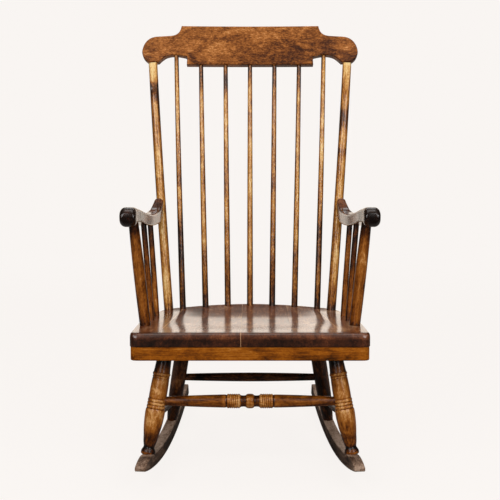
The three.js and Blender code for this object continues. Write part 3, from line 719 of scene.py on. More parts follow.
def wood(slot):
    """Stained and varnished wood: mottling, figure along the grain, pores, dark corners and rubbed edges"""
    name = f"{slot}_finish"
    if name in bpy.data.materials:
        return bpy.data.materials[name]
    look = getattr(bpy.context.scene, f"chair_{slot}")
    material = bpy.data.materials.new(name)
    shader = Shader(material)
    grain = shader.attribute("grain", 1)
    worn = shader.attribute("worn")
    stain = shader.attribute("stain")
    broad = shader.noise(grain, 0.5, 26, 5, 0.62, look.swirl) - 0.5
    figure = shader.noise(grain, 0.09, 120, 4, 0.6, 0.9) - 0.5
    streak = shader.noise(grain, 0.025, 520, 3)
    fleck = shader.noise(grain, 0.5, 300, 4, 0.7)
    patch = shader.noise(grain, 0.6, 22, 2, 0.5, 0.6).between(0.6, 0.72)
    pores = shader.noise(grain, 0.045, 1500, 2).between(0.62, 0.72)
    rubbed = shader.noise(grain, 1, 75, 4, 0.65)
    wear = (worn * rubbed.between(0.36, 0.66)).held()
    tone = 0.5 + broad * (2.2 * look.mottle) + figure * (1.6 * look.streak)
    tone = tone + (streak - 0.5) * (0.9 * look.streak) + (fleck - 0.5) * (1.3 * look.fleck) - pores * 0.08
    tone = tone + wear * look.rub + patch * (look.flare * (rubbed * 1.6 - 0.4))
    # Darker where the notes hold stain and painted shade, lighter where they hold painted highlights
    tone = tone - stain * (look.dirt * (0.6 + rubbed * 0.8))
    if slot == "seat_wood":
        tone = tone + pale_lines(shader)
    tints = (look.deep, look.dark, look.middle, look.light, look.pale)
    stops = [(stop, linear(tint)) for stop, tint in zip(TINT_STOPS, tints)]
    tint = shader.add("ValToRGB", {0: tone}, stops=stops)
    rough = (look.rough + figure * 0.16 + (rubbed - 0.5) * 0.14 + wear * 0.1).held()
    coat = (look.coat * (0.55 + fleck * 0.9)).held()
    height = streak * 0.5 + (figure + 0.5) * 0.5 + fleck * 0.6 - pores * 0.8
    filled = 0.35 * (1 - 0.6 * look.coat)
    bumped = shader.add("Bump", {"Strength": filled, "Distance": BUMP_DEPTH, "Height": height})
    surface = shader.add("BsdfPrincipled", {
        "Base Color": tint, "Roughness": rough, "Normal": bumped, "Specular IOR Level": look.shine,
        "Coat Weight": coat, "Coat Roughness": look.coat_rough, "Coat IOR": 1.5, "IOR": 1.45,
    })
    shader.add("OutputMaterial", {"Surface": surface})
    return material


# Seat

SEAT_OUTLINE_STEP = 0.008
SIDE_BAND = 0.05
SIDE_FADE = 0.03
UNDER_RIM = 0.005
# Where the top is painted lighter, as lit from above: its fade at the rim, behind the front edge and towards
# the back
RIM_FADE = 0.003
TOP_LIGHT_START = 0.01
TOP_LIGHT_FADE = 0.02
TOP_FRONT_END = 0.3
TOP_FRONT_FADE = 0.15
BOARD_TONES = (0.1, -0.05, 0.06, -0.12)
# The pale lines start behind the front edge, and the two outer seams show less than the middle one
LINE_START = 0.06
LINE_FADE = 0.05
OUTER_SEAM_LESS = 0.0006
RAIL_STEP = 0.02
RAIL_LOW = 0.012
RAIL_FADE = 0.01


def chair_place():
    """From the seat's front edge at floor height to the frame's origin"""
    mount = frame["record"]["mounts"][0]["pos_m"]
    return Vector((0, mount[1] - bpy.context.scene.chair_base.runner_contact, 0))


def seat_frame():
    seat = bpy.context.scene.chair_seat
    front = chair_place() + UP * seat.height
    return Matrix.Translation(front) @ Matrix.Rotation(-seat.tilt, 4, "X")


def saddle_width(seat, back):
    return blend(seat.saddle_front, seat.saddle_rear, back / seat.depth)


def seat_top(seat, x, back):
    """Height of the seat's upper face over its front edge"""
    roll = seat.roll_rise * max(0, (back - seat.depth + seat.roll_length) / seat.roll_length) ** 2
    across = 1 - min(1, abs(x) / (saddle_width(seat, back) / 2)) ** 5
    front = ease((back - seat.top_round) / seat.front_fade)
    rear = ease((seat.depth - seat.rear_margin - back) / seat.rear_fade)
    return roll - seat.saddle_depth * across * front * rear


def seat_outline(seat):
    half = seat.width / 2
    shoulder_half = half - seat.shoulder_inset
    rear_half = half - seat.rear_inset
    shoulder = seat.depth - seat.shoulder_setback
    rear = seat.depth - seat.rear_setback
    reach = (shoulder - seat.side_run) / 3
    lean = seat.shoulder_inset / 3
    turn = (rear - shoulder) * 0.7
    return both_halves(drawn((half - seat.corner, 0), [
        [(half, 0), (half, seat.corner)],
        [(half, seat.side_run)],
        [(half, seat.side_run + reach), (shoulder_half + lean, shoulder - reach), (shoulder_half, shoulder)],
        [
            (shoulder_half - turn / 5, shoulder + turn), (rear_half + turn / 2, rear - turn / 6),
            (rear_half, rear),
        ],
        [(rear_half / 2, seat.depth), (0, seat.depth)],
    ], SEAT_OUTLINE_STEP))


def square_sides(bm, seat):
    """Fills out the rounded rim along both sides of the seat"""
    radius = seat.top_round
    for vert in bm.verts:
        level = clamp(vert.co.z + radius, 0, radius)
        inset = radius - sqrt(radius ** 2 - level ** 2)
        aside = ease((abs(vert.co.x) - seat.width / 2 + SIDE_BAND) / SIDE_FADE)
        vert.co.x += copysign(inset * aside * seat.side_fill, vert.co.x)


def seat_blank(seat):
    """One board sawn to the seat's outline, rounded, hollowed and rolled up at the back"""
    bm = sawn(seat_outline(seat), seat.thickness, ((seat.top_round, 6), (seat.under_round, 3)))
    square_sides(bm, seat)
    lattice(bm, ACROSS, -seat.width / 2, seat.width / 2, seat.step)
    lattice(bm, BACK, 0, seat.depth, seat.step)
    cut(bm, UP * -(seat.top_round + UNDER_RIM), UP, dist=CLOSE)
    wall = seat.thickness - seat.under_round
    for vert in bm.verts:
        amount = clamp((vert.co.z + wall) / (wall - seat.top_round))
        vert.co.z += seat_top(seat, vert.co.x, vert.co.y) * amount
    return bm


class CHAIR_OT_seat(bpy.types.Operator):
    """Builds the seat boards and the rail under their front edge"""

    bl_idname = "chair.seat"
    bl_label = "Seat"

    def execute(self, context):
        seat = context.scene.chair_seat
        blank = seat_blank(seat)
        edges = [-seat.width, *(seam * seat.width / 2 for seam in seat.seams), seat.width]
        for number, (low, high) in enumerate(zip(edges, edges[1:]), 1):
            bm = blank.copy()
            for side, way in ((low + seat.seam_gap / 2, -1), (high - seat.seam_gap / 2, 1)):
                made = cut(bm, (side, 0, 0), (way, 0, 0), clear_outer=True)
                rim = [item for item in made if isinstance(item, bmesh.types.BMEdge)]
                bmesh.ops.holes_fill(bm, edges=rim, sides=0)
            note_grain(bm, TIMBER_ALONG_Y, number)
            note_use(bm, lambda point: self.tone(seat, number, point), 1)
            self.note_lines(bm, seat, number, low, high)
            carry(bm, seat_frame())
            place_board(bm, f"seat_board_{number}", "seat_wood")
        blank.free()
        self.rail(seat)
        return {"FINISHED"}

    def tone(self, seat, number, point):
        """Dark under the rounded rim, lighter where the top is rubbed, and each board of its own tone"""
        under = ease((-seat.top_round - point.z) / UNDER_RIM)
        top = ease((point.z + seat.top_round) / RIM_FADE) * ease((point.y - TOP_LIGHT_START) / TOP_LIGHT_FADE)
        toward_front = ease((TOP_FRONT_END - point.y) / TOP_FRONT_FADE)
        return 0.4 * under - (0.35 + 0.12 * toward_front) * top + BOARD_TONES[number - 1]

    def note_lines(self, bm, seat, number, low, high):
        """Distances from the scribed edge of the saddle and from the board's seams, and where the top is"""
        saddle = bm.verts.layers.float.new("saddle")
        seam = bm.verts.layers.float.new("seam")
        top = bm.verts.layers.float.new("top")
        for vert in bm.verts:
            x, back, z = vert.co
            vert[saddle] = abs(x) - saddle_width(seat, back) / 2
            vert[seam] = min(
                x - low + (number != 3) * OUTER_SEAM_LESS, high - x + (number != 2) * OUTER_SEAM_LESS,
            )
            vert[top] = ease((z + seat.top_round) / RIM_FADE) * ease((back - LINE_START) / LINE_FADE)

    def rail(self, seat):
        half = seat.width / 2 - seat.rail_inset
        bm = bmesh.new()
        bmesh.ops.create_cube(bm, size=1)
        middle = Vector((
            0, seat.rail_inset + seat.rail_depth / 2, -seat.thickness - seat.seam_gap - seat.rail_height / 2,
        ))
        size = Matrix.Diagonal((2 * half, seat.rail_depth, seat.rail_height, 1))
        carry(bm, Matrix.Translation(middle) @ size)
        upright = [
            edge for edge in bm.edges if all(vert.co.y < seat.rail_depth / 2 for vert in edge.verts)
            and abs(edge.verts[0].co.x - edge.verts[1].co.x) < CLOSE
        ]
        round_edges(bm, upright, seat.corner - seat.rail_inset, 6)
        bottom = min(vert.co.z for vert in bm.verts)
        round_edges(bm, edges_at(bm, bottom), seat.rail_round, 4)
        lattice(bm, ACROSS, -half, half, RAIL_STEP)
        note_grain(bm, TIMBER_ALONG_X, 7)
        note_use(bm, lambda point: 0.3 * ease((bottom + RAIL_LOW - point.z) / RAIL_FADE) - 0.12)
        carry(bm, seat_frame())
        place_board(bm, "seat_front_rail", "rail_wood")


# Back. A row of tones gives how much darker a rod is at each share of its length

POST_TONES = (
    through((
        (-0.02, 0.8), (0.01, 0.5), (0.05, -0.1), (0.3, -0.15), (0.7, 0), (0.84, 0.3), (0.88, 0.75),
        (0.91, 0.5), (0.94, -0.5), (1, -0.65),
    )),
    through((
        (-0.02, 0.8), (0.01, 0.5), (0.06, 0.15), (0.3, -0.05), (0.61, -0.2), (0.635, 0.2), (0.66, -0.1),
        (0.7, -0.1), (0.75, 0.6), (0.78, 0.65), (0.83, 0.15), (0.9, 0), (0.95, -0.4), (1, -0.5),
    )),
)
INNER_SPINDLE_TONE = through((
    (-0.02, 0.9), (0.02, 0.7), (0.14, 0.25), (0.35, 0), (0.8, -0.1), (0.88, 0), (0.93, 0.5), (1, 0.6),
))
OUTER_SPINDLE_TONE = through(((-0.02, 1), (0.02, 0.8), (0.3, 0.65), (0.46, 0.15), (0.8, 0), (1, 0.15)))
SPINDLE_SHIFTS = (0.05, 0, 0.05, -0.05, 0.3, 0.1, -0.05)
# How strongly the flanks of the rods are painted darker as shade and their fronts lighter as a highlight
POST_SHADE_AND_HIGHLIGHT = 0.5
SPINDLE_SHADE_AND_HIGHLIGHT = 0.6
BENT_STEP = 0.006


def bent_piece(node, number, seat_length, crest_length, base, top, ends_of, tone, flank):
    """Straight blank of a bent rod, the curve that it will follow and the curve's length"""
    points = bent_axis(node, seat_length, crest_length)
    reach = curve_table(points)[-1]
    body = [(along, blend(base, top, along / reach)) for along in even(0, reach, BENT_STEP)]
    profile = [(-seat_length, base), *body, *ends_of(reach)]
    bm = turned(profile, 24)
    note_grain(bm, TIMBER_ALONG_Z, number)
    note_turning(bm, profile, lambda along: tone(along / reach), flank)
    return bm, points, reach


class CHAIR_OT_back(bpy.types.Operator):
    """Builds the two bent posts and the bent spindles of the back"""

    bl_idname = "chair.back"
    bl_label = "Posts and spindles"

    def execute(self, context):
        back = context.scene.chair_back
        for number, (side, _) in enumerate(SIDES):
            node = f"back_post_{side}"
            bm, points, reach = bent_piece(
                node, 10 + number, back.post_seat, back.post_tenon, back.post_base, back.post_top,
                lambda reach: [
                    (reach + back.post_shoulder, back.post_top),
                    (reach + back.post_shoulder, back.post_tenon_radius),
                    (reach + back.post_tenon, back.post_tenon_radius),
                ],
                POST_TONES[number], POST_SHADE_AND_HIGHLIGHT,
            )
            self.plane_flat(bm, back, reach)
            bend(bm, points)
            place(bm, node, "back_wood")
        for number, shift in enumerate(SPINDLE_SHIFTS):
            node = f"back_spindle_{number + 1}"
            outer = number in (0, len(SPINDLE_SHIFTS) - 1)
            inside = back.outer_spindle_crest if outer else back.spindle_crest
            tone = OUTER_SPINDLE_TONE if outer else INNER_SPINDLE_TONE
            bm, points, _ = bent_piece(
                node, 20 + number, back.spindle_seat, inside, back.spindle_base, back.spindle_top,
                lambda reach: [(reach + inside, back.spindle_top)],
                lambda share_up: tone(share_up) + shift, SPINDLE_SHADE_AND_HIGHLIGHT,
            )
            bend(bm, points)
            place(bm, node, "back_wood")
        return {"FINISHED"}

    def plane_flat(self, bm, back, reach):
        """Planes the front of the post flat below the crest rail, running out softly"""
        for vert in bm.verts:
            run = (reach - back.flat_length - vert.co.z) / back.flat_fade
            front = back.flat_depth * (1 - ease(run)) - back.post_top
            vert.co.y = max(vert.co.y, front - ease(run) * (back.post_base - back.post_top))


# Crest rail. Its face is golden towards the top left and dark towards the lower right

CREST_OUTLINE_STEP = 0.006
CREST_STEP = 0.009
CREST_SLANT_HALF = 0.12
CREST_SLANT_LOW = 0.09
CREST_SLANT_FADE = 0.14
# Across, up, radius and how much darker a round patch on its face is
CREST_PATCHES = ((0.222, 0.056, 0.045, 0.75), (0.26, 0.055, 0.055, -0.75))
LEFT_EAR = 0.17
LEFT_EAR_FADE = 0.06


def crest_outline(back, post_half):
    def arch(across, rise):
        return post_half + across * back.crest_arch, rise * back.crest_height

    def lobe(across, rise):
        return post_half + across * back.crest_ear, rise * back.crest_height

    return both_halves(drawn(arch(-1, 0), [
        [arch(-1.01, 0.2)],
        [arch(-0.76, 0.262), arch(-0.53, 0.27), arch(-0.375, 0.2)],
        [arch(-0.3, 0.165), arch(-0.175, 0.055)],
        [lobe(0.32, 0.055)],
        [lobe(0.62, 0.085), lobe(1, 0.19), lobe(1, 0.31)],
        [lobe(0.99, 0.43), lobe(0.71, 0.7), lobe(-0.4, 0.716)],
        [arch(-0.5, 0.739)],
        [arch(-0.66, 0.754), arch(-0.79, 0.79), arch(-0.832, 1)],
    ], CREST_OUTLINE_STEP))


class CHAIR_OT_crest(bpy.types.Operator):
    """Builds the crest rail, sawn to its outline, bowed and leaned back on the posts"""

    bl_idname = "chair.crest"
    bl_label = "Crest rail"

    def execute(self, context):
        back = context.scene.chair_back
        points = bent_axis("back_post_right", back.post_seat, back.post_tenon)
        slope = curve_slope(points, 1)
        end = points[-1]
        rim = (back.crest_round, 4)
        bm = sawn(crest_outline(back, end.x), back.crest_thickness, (rim, rim))
        carry(bm, Matrix.Translation((0, -back.crest_thickness / 2, 0)) @ Matrix.Rotation(pi / 2, 4, "X"))
        lattice(bm, ACROSS, -end.x - back.crest_ear, end.x + back.crest_ear, CREST_STEP)
        note_grain(bm, TIMBER_ALONG_X, 5)
        note_use(bm, self.tone)
        radius = (end.x ** 2 + back.crest_bow ** 2) / (2 * back.crest_bow)
        for vert in bm.verts:
            bow = back.crest_bow - radius + sqrt(radius ** 2 - vert.co.x ** 2)
            vert.co.y += bow
            vert.co.z += bow * slope.y / slope.z
        lean = Matrix.Rotation(-atan2(slope.y, slope.z), 4, "X")
        carry(bm, Matrix.Translation((0, end.y, end.z)) @ lean)
        place_board(bm, "crest_rail", "crest_wood")
        return {"FINISHED"}

    def tone(self, point):
        across = clamp(point.x, -CREST_SLANT_HALF, CREST_SLANT_HALF)
        slant = ease((across * 0.5 - point.z + CREST_SLANT_LOW) / CREST_SLANT_FADE)
        patches = sum(
            amount * ease(1 - hypot(point.x - x, point.z - z) / radius)
            for x, z, radius, amount in CREST_PATCHES
        )
        return 0.5 * slant - 0.22 + patches + 0.18 * ease((-LEFT_EAR - point.x) / LEFT_EAR_FADE)


# Arms

# Place behind the roll, dip, thickness, and how far the inner and the outer side have moved to the post
ARM_SHARES = (
    (0.035, 0.02, 1.37, 0, 0), (0.085, 0.11, 1.15, 0.03, 0.02), (0.16, 0.25, 0.975, 0.13, 0.1),
    (0.31, 0.53, 0.93, 0.28, 0.23), (0.475, 0.78, 0.95, 0.45, 0.37), (0.645, 0.96, 0.97, 0.63, 0.51),
    (0.79, 0.985, 1.03, 0.78, 0.64), (0.885, 0.88, 1.2, 0.88, 0.79), (0.945, 0.58, 1.48, 0.94, 0.92),
    (1, 0.31, 1.77, 1, 1),
)
ARM_ROUND_SHARES = ((0.1, 1.5), (0.25, 1), (0.8, 1), (1, 2))
# Degrees round the front of the roll, and the share of its width by which each side draws in there
ROLL_DRAW_IN = through(((0, 0.24), (14, 0.13), (32, 0.05), (55, 0.012), (90, 0)))
ROLL_TURNS = (7, 83, 8)
ARM_STEP = 0.008
ROLL_SHARE = 0.08
ARM_RUB_FADE = 0.25
ARM_POST_SHARES = ((0, 0.95), (0.12, 0.97), (0.32, 1), (0.55, 0.99), (0.8, 0.93), (1, 0.84))
ARM_SPINDLE_SHARES = ((0, 0.95), (0.3, 1), (0.6, 0.98), (1, 0.95))
ARM_POST_TONES = ((-0.1, 0.8), (0.01, 0.6), (0.1, 0.1), (0.4, -0.05), (0.7, 0.05), (0.9, 0.4), (1, 0.9))
ARM_SPINDLE_TONES = ((-0.1, 0.5), (0.02, 0.35), (0.15, 0.12), (0.5, 0.25), (0.85, 0.6), (1, 1))


def arm_stations(arms, side):
    """Places from the rolled front back to the post: top, underside, inner and outer side, and rounding"""
    low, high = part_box(f"arm_{side}")
    outer = max(abs(low.x), abs(high.x))
    inner = outer - arms.roll_width
    radius = arms.roll_height / 2
    start = low.y + radius
    run = high.y - start
    back = bpy.context.scene.chair_back
    points = bent_axis(f"back_post_{side}", back.post_seat, back.post_tenon)
    share_up = (high.z - arms.roll_height - points[0].z) / (points[-1].z - points[0].z)
    inner_rear = abs(curve_point(points, share_up).x) - arms.rear_inset
    outer_rear = inner_rear + arms.rear_width
    rows = [(start, high.z, high.z - arms.roll_height, inner, outer)]
    for along, dip, thick, in_shift, out_shift in ARM_SHARES:
        top = high.z - dip * arms.dip
        rows.append((
            start + along * run, top, top - thick * arms.thickness,
            blend(inner, inner_rear, in_shift), blend(outer, outer_rear, out_shift),
        ))
    lines = [through([(row[0], row[column]) for row in rows]) for column in range(1, 5)]
    rounds = [(start + along * run, arms.edge_round * out) for along, out in ARM_ROUND_SHARES]
    lines.append(through([(start, arms.roll_round), *rounds]))
    stations = []
    for turn in even(*ROLL_TURNS):
        lift = radius * sin(radians(turn))
        narrow = ROLL_DRAW_IN(turn) * arms.roll_width
        middle = high.z - radius
        stations.append((
            start - radius * cos(radians(turn)), middle + lift, middle - lift,
            inner + narrow, outer - narrow, min(arms.roll_round, lift * 0.92),
        ))
    for station in even(start, high.y, ARM_STEP):
        stations.append((station, *(line(station) for line in lines)))
    return stations


def arm_ring(station, sign):
    """Rounded rectangle at one station, its corners evenly stepped"""
    back, top, under, inner, outer, rounding = station
    corners = (
        (outer - rounding, under + rounding, -90), (outer - rounding, top - rounding, 0),
        (inner + rounding, top - rounding, 90), (inner + rounding, under + rounding, 180),
    )
    ring = []
    for x, z, first in corners:
        for step in range(8):
            turn = radians(first + 90 * step / 7)
            ring.append(Vector((sign * (x + rounding * cos(turn)), back, z + rounding * sin(turn))))
    return ring


class CHAIR_OT_arms(bpy.types.Operator):
    """Builds the arms, the posts and spindles under them and the dowels at their back"""

    bl_idname = "chair.arms"
    bl_label = "Arms"

    def execute(self, context):
        arms = context.scene.chair_arms
        for number, (side, sign) in enumerate(SIDES):
            bm = lofted([arm_ring(station, sign) for station in arm_stations(arms, side)])
            note_grain(bm, TIMBER_ALONG_Y, 30 + number)
            low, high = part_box(f"arm_{side}")
            note_use(bm, lambda point: self.tone(low, high, point), 1.4)
            place_board(bm, f"arm_{side}", "arm_wood")
            straight_rod(
                f"arm_post_{side}", UP, arms.post_seat, arms.post_arm, lambda reach: self.post(arms, reach),
                "turned_wood", 34 + number, ARM_POST_TONES, flank=0.25,
            )
            for shift, end in ((0, "front"), (2, "rear")):
                straight_rod(
                    f"arm_spindle_{end}_{side}", UP, arms.spindle_seat, arms.spindle_arm,
                    lambda reach: self.spindle(arms, reach), "turned_wood", 38 + number + shift,
                    ARM_SPINDLE_TONES, 24, 0.4,
                )
            dowel = frame["nodes"][f"arm_dowel_{side}"]
            dowel.data.materials.clear()
            dowel.data.materials.append(wood("back_wood"))
        return {"FINISHED"}

    def tone(self, low, high, point):
        """Nearly black at the roll, rubbed redder behind it"""
        along = (point.y - low.y) / (high.y - low.y)
        return 0.25 - 0.95 * ease((along - ROLL_SHARE) / ARM_RUB_FADE)

    def post(self, arms, reach):
        body = soft(scaled(ARM_POST_SHARES, reach, arms.post_radius), 40)
        shoulder = reach + arms.post_shoulder
        return [
            (-arms.post_seat, body[0][1]), *body, (shoulder, body[-1][1]),
            (shoulder, arms.post_tenon), (reach + arms.post_arm, arms.post_tenon),
        ]

    def spindle(self, arms, reach):
        body = soft(scaled(ARM_SPINDLE_SHARES, reach, arms.spindle_radius), 30)
        return [(-arms.spindle_seat, body[0][1]), *body, (reach + arms.spindle_arm, body[-1][1])]


# Legs and stretchers. A row of shares gives a radius at each place along a rod

FRONT_LEG_SHARES = (
    *soft((
        (0, 0.62), (0.004, 0.68), (0.013, 0.733), (0.024, 0.735), (0.038, 0.695), (0.053, 0.61),
        (0.063, 0.562), (0.07, 0.56), (0.08, 0.585), (0.12, 0.69), (0.164, 0.76), (0.217, 0.863),
        (0.26, 0.925), (0.32, 0.98), (0.366, 1), (0.39, 0.98), (0.402, 0.93),
    ), 90),
    *bead(0.404, 0.433, 0.888, 0.953),
    *bead(0.434, 0.461, 0.884, 0.948),
    *bead(0.462, 0.489, 0.878, 0.943),
    *soft(((0.49, 0.885), (0.5, 0.898), (0.56, 0.9), (0.62, 0.882), (0.665, 0.857), (0.671, 0.84)), 30),
    *bead(0.672, 0.692, 0.81, 0.87),
    *bead(0.693, 0.721, 0.815, 0.902, 10),
    *soft(((0.722, 0.84), (0.735, 0.822), (0.79, 0.78), (0.9, 0.712)), 24),
)
REAR_LEG_SHARES = soft((
    (0, 0.66), (0.02, 0.7), (0.12, 0.82), (0.28, 0.95), (0.42, 0.985), (0.58, 1), (0.75, 0.975), (0.9, 0.86),
), 60)
PLAIN_SHARES = soft(((0, 0.74), (0.22, 0.9), (0.4, 0.98), (0.5, 1), (0.6, 0.98), (0.78, 0.9), (1, 0.74)), 60)
# Half of the front stretcher: taper, band of reeds, cove and the rise to the middle ball
TAPER_SHARES = soft(
    ((0, 0.57), (0.06, 0.6), (0.3, 0.74), (0.52, 0.84), (0.66, 0.885), (0.725, 0.9), (0.737, 0.88)), 50,
)
BAND_LOW = 0.75
BAND_HIGH = 0.89
COVE_SHARES = soft(((0.895, 0.86), (0.905, 0.79), (0.93, 0.765), (0.95, 0.79), (0.957, 0.85)), 14)
BALL_SHARES = soft(((0.962, 0.9), (0.97, 0.965), (0.985, 0.995), (1, 1)), 8)
FRONT_LEG_TONES = (
    (-0.1, 0.8), (0, 0.8), (0.04, 0.85), (0.07, 0.7), (0.14, 0.6), (0.21, 0.05), (0.27, -0.25), (0.33, -0.42),
    (0.6, -0.25), (0.7, -0.1), (0.76, 0.5), (0.83, 1.3), (1, 1.8),
)
REAR_LEG_TONES = ((-0.1, 0.2), (0.3, 0.1), (0.7, 0), (1, 0.2))
STRETCHER_TONES = ((0, 0.5), (0.06, 0.25), (0.2, 0.05), (0.8, 0.05), (0.94, 0.25), (1, 0.5))
FRONT_HALF_TONES = (
    (0, 0.6), (0.06, 0.35), (0.2, 0.22), (0.33, 0.15), (0.372, -0.3), (0.44, -0.25), (0.462, 0.4),
)
# The middle ball is painted lighter, as a highlight
FRONT_STRETCHER_TONES = (
    *FRONT_HALF_TONES, (0.5, -0.2), *((1 - along, tone) for along, tone in reversed(FRONT_HALF_TONES)),
)


def leg_profile(base, shares, radius, reach):
    """Foot tenon, turned body, neck and seat tenon"""
    body = [(along - base.foot_seat, out) for along, out in scaled(shares, reach, radius)]
    return [
        (-base.foot_tenon, base.foot_radius), (-base.foot_seat, base.foot_radius), *body,
        (reach - base.leg_neck, base.leg_tenon_radius), (reach + base.leg_tenon, base.leg_tenon_radius),
    ]


def front_stretcher_shares(reeds):
    width = (BAND_HIGH - BAND_LOW) / reeds
    band = [(0.742, 0.84)]
    for number in range(reeds):
        low = BAND_LOW + number * width
        band += bead(low, low + width, 0.88, 0.99, 6)
    half = [(along / 2, out) for along, out in [*TAPER_SHARES, *band, *COVE_SHARES, *BALL_SHARES]]
    return [*half, *((1 - along, out) for along, out in reversed(half[:-1]))]


class CHAIR_OT_legs(bpy.types.Operator):
    """Builds the turned front legs and the plain rear legs"""

    bl_idname = "chair.legs"
    bl_label = "Legs"

    def execute(self, context):
        base = context.scene.chair_base
        for number, (side, _) in enumerate(SIDES):
            straight_rod(
                f"front_leg_{side}", UP, base.foot_tenon, base.leg_tenon,
                lambda reach: leg_profile(base, FRONT_LEG_SHARES, base.front_leg, reach),
                "turned_wood", 50 + number, FRONT_LEG_TONES, 40, 0.35,
            )
            straight_rod(
                f"rear_leg_{side}", UP, base.foot_tenon, base.leg_tenon,
                lambda reach: leg_profile(base, REAR_LEG_SHARES, base.rear_leg, reach),
                "dark_wood", 54 + number, REAR_LEG_TONES,
            )
        return {"FINISHED"}


class CHAIR_OT_stretchers(bpy.types.Operator):
    """Builds the four stretchers"""

    bl_idname = "chair.stretchers"
    bl_label = "Stretchers"

    def execute(self, context):
        base = context.scene.chair_base
        shares = front_stretcher_shares(base.reeds)
        straight_rod(
            "front_stretcher", ACROSS, 0, 0, lambda reach: scaled(shares, reach, base.front_stretcher),
            "turned_wood", 60, FRONT_STRETCHER_TONES, 40,
        )
        straight_rod(
            "rear_stretcher", ACROSS, 0, 0, lambda reach: scaled(PLAIN_SHARES, reach, base.rear_stretcher),
            "dark_wood", 61, STRETCHER_TONES,
        )
        for number, (side, _) in enumerate(SIDES):
            straight_rod(
                f"side_stretcher_{side}", BACK, 0, 0,
                lambda reach: scaled(PLAIN_SHARES, reach, base.side_stretcher),
                "dark_wood", 62 + number, STRETCHER_TONES,
            )
        return {"FINISHED"}


# Runners

RUNNER_OUTLINE_STEP = 0.005
RUNNER_STEP = 0.012
RUNNER_TOP_DEPTH = 0.003
RUNNER_TOP_FADE = 0.002
PEG_OUT = 0.001
PEG_EDGE = 0.0006
PEG_END = 0.8


class CHAIR_OT_runners(bpy.types.Operator):
    """Builds the runners and the pegs through them"""

    bl_idname = "chair.runners"
    bl_label = "Runners"

    def execute(self, context):
        base = context.scene.chair_base
        for number, (side, sign) in enumerate(SIDES):
            bm = self.blank(base)
            note_grain(bm, TIMBER_ALONG_Y, 70 + number)
            note_use(bm, lambda point: self.tone(base, point))
            for vert in bm.verts:
                outward = clamp(vert.co.x * sign / (base.runner_thickness / 2))
                turn = vert.co.y / base.runner_radius
                radius = base.runner_radius - vert.co.z
                vert.co = Vector((
                    vert.co.x - sign * base.nose_narrow * self.nose(base, vert.co) * outward,
                    radius * sin(turn), base.runner_radius - radius * cos(turn),
                ))
            mount = frame["record"]["mounts"][number]["pos_m"]
            carry(bm, Matrix.Translation(mount) @ Matrix.Rotation(sign * base.runner_toe, 4, "Z"))
            place_board(bm, f"runner_{side}", "runner_wood")
            for end in ("front", "rear"):
                straight_rod(
                    f"runner_peg_{end}_{side}", ACROSS * sign, 0, 0, lambda reach: self.peg(base, reach),
                    "turned_wood", 74 + number, ((0, 0.4), (1, 0.4)), 16,
                )
        return {"FINISHED"}

    def nose(self, base, point):
        return ease((base.runner_nose - base.runner_front - point.y) / base.runner_nose)

    def tone(self, base, point):
        """Dusty on top, worn pale at the nose, darker at the sides"""
        level = ease((point.z - base.runner_height + RUNNER_TOP_DEPTH) / RUNNER_TOP_FADE)
        top = level * ease(1.6 - abs(point.x) * 2 / base.runner_thickness)
        return 0.3 - 1.1 * top - 0.75 * self.nose(base, point)

    def peg(self, base, reach):
        end = base.peg_radius * PEG_END
        return [
            (-PEG_OUT, end), (-PEG_EDGE, base.peg_radius),
            (reach + PEG_EDGE, base.peg_radius), (reach + PEG_OUT, end),
        ]

    def blank(self, base):
        """Straight runner: X across, Y back, Z up from the floor"""
        front, rear, height = base.runner_front, base.runner_rear, base.runner_height
        heel, nose, tip = base.runner_heel, base.runner_nose, base.runner_tip
        outline = drawn((tip - front, 0), [
            [(rear - heel, 0)],
            [(rear, 0), (rear, heel)],
            [(rear, height - heel)],
            [(rear, height), (rear - heel, height)],
            [(nose - front, height)],
            [(nose * 0.28 - front, height * 0.78), (-front, height * 0.26)],
            [(-front, 0), (tip - front, 0)],
        ], RUNNER_OUTLINE_STEP)[:-1]
        rim = (base.runner_round, 3)
        bm = sawn(outline, base.runner_thickness, (rim, rim))
        upright = Matrix(((0, 0, 1), (1, 0, 0), (0, 1, 0))).to_4x4()
        carry(bm, Matrix.Translation((base.runner_thickness / 2, 0, 0)) @ upright)
        lattice(bm, BACK, -front, rear, RUNNER_STEP)
        return bm


# Stage

# Name, place, what it faces, size, and the field that holds its power
SOFTBOXES = (
    ("Left front", (-1.4, -2.8, 2.1), (0, 0, 0.7), (0.9, 2.8), "key"),
    ("Right front", (1.4, -2.8, 2.1), (0, 0, 0.7), (0.9, 2.8), "key"),
    ("Left side", (-1.9, -1.7, 2.1), (0, 0, 0.6), (0.5, 0.5), "side"),
    ("Right side", (1.9, -1.7, 2.1), (0, 0, 0.6), (0.5, 0.5), "side"),
    ("Overhead", (0, -0.2, 2.8), (0, 0, 0.5), (1.6, 1), "top"),
    ("Above rear", (0, 2, 2.6), (0, 0, 0.6), (2, 1), "rear"),
)
FLOOR_REACH = 12


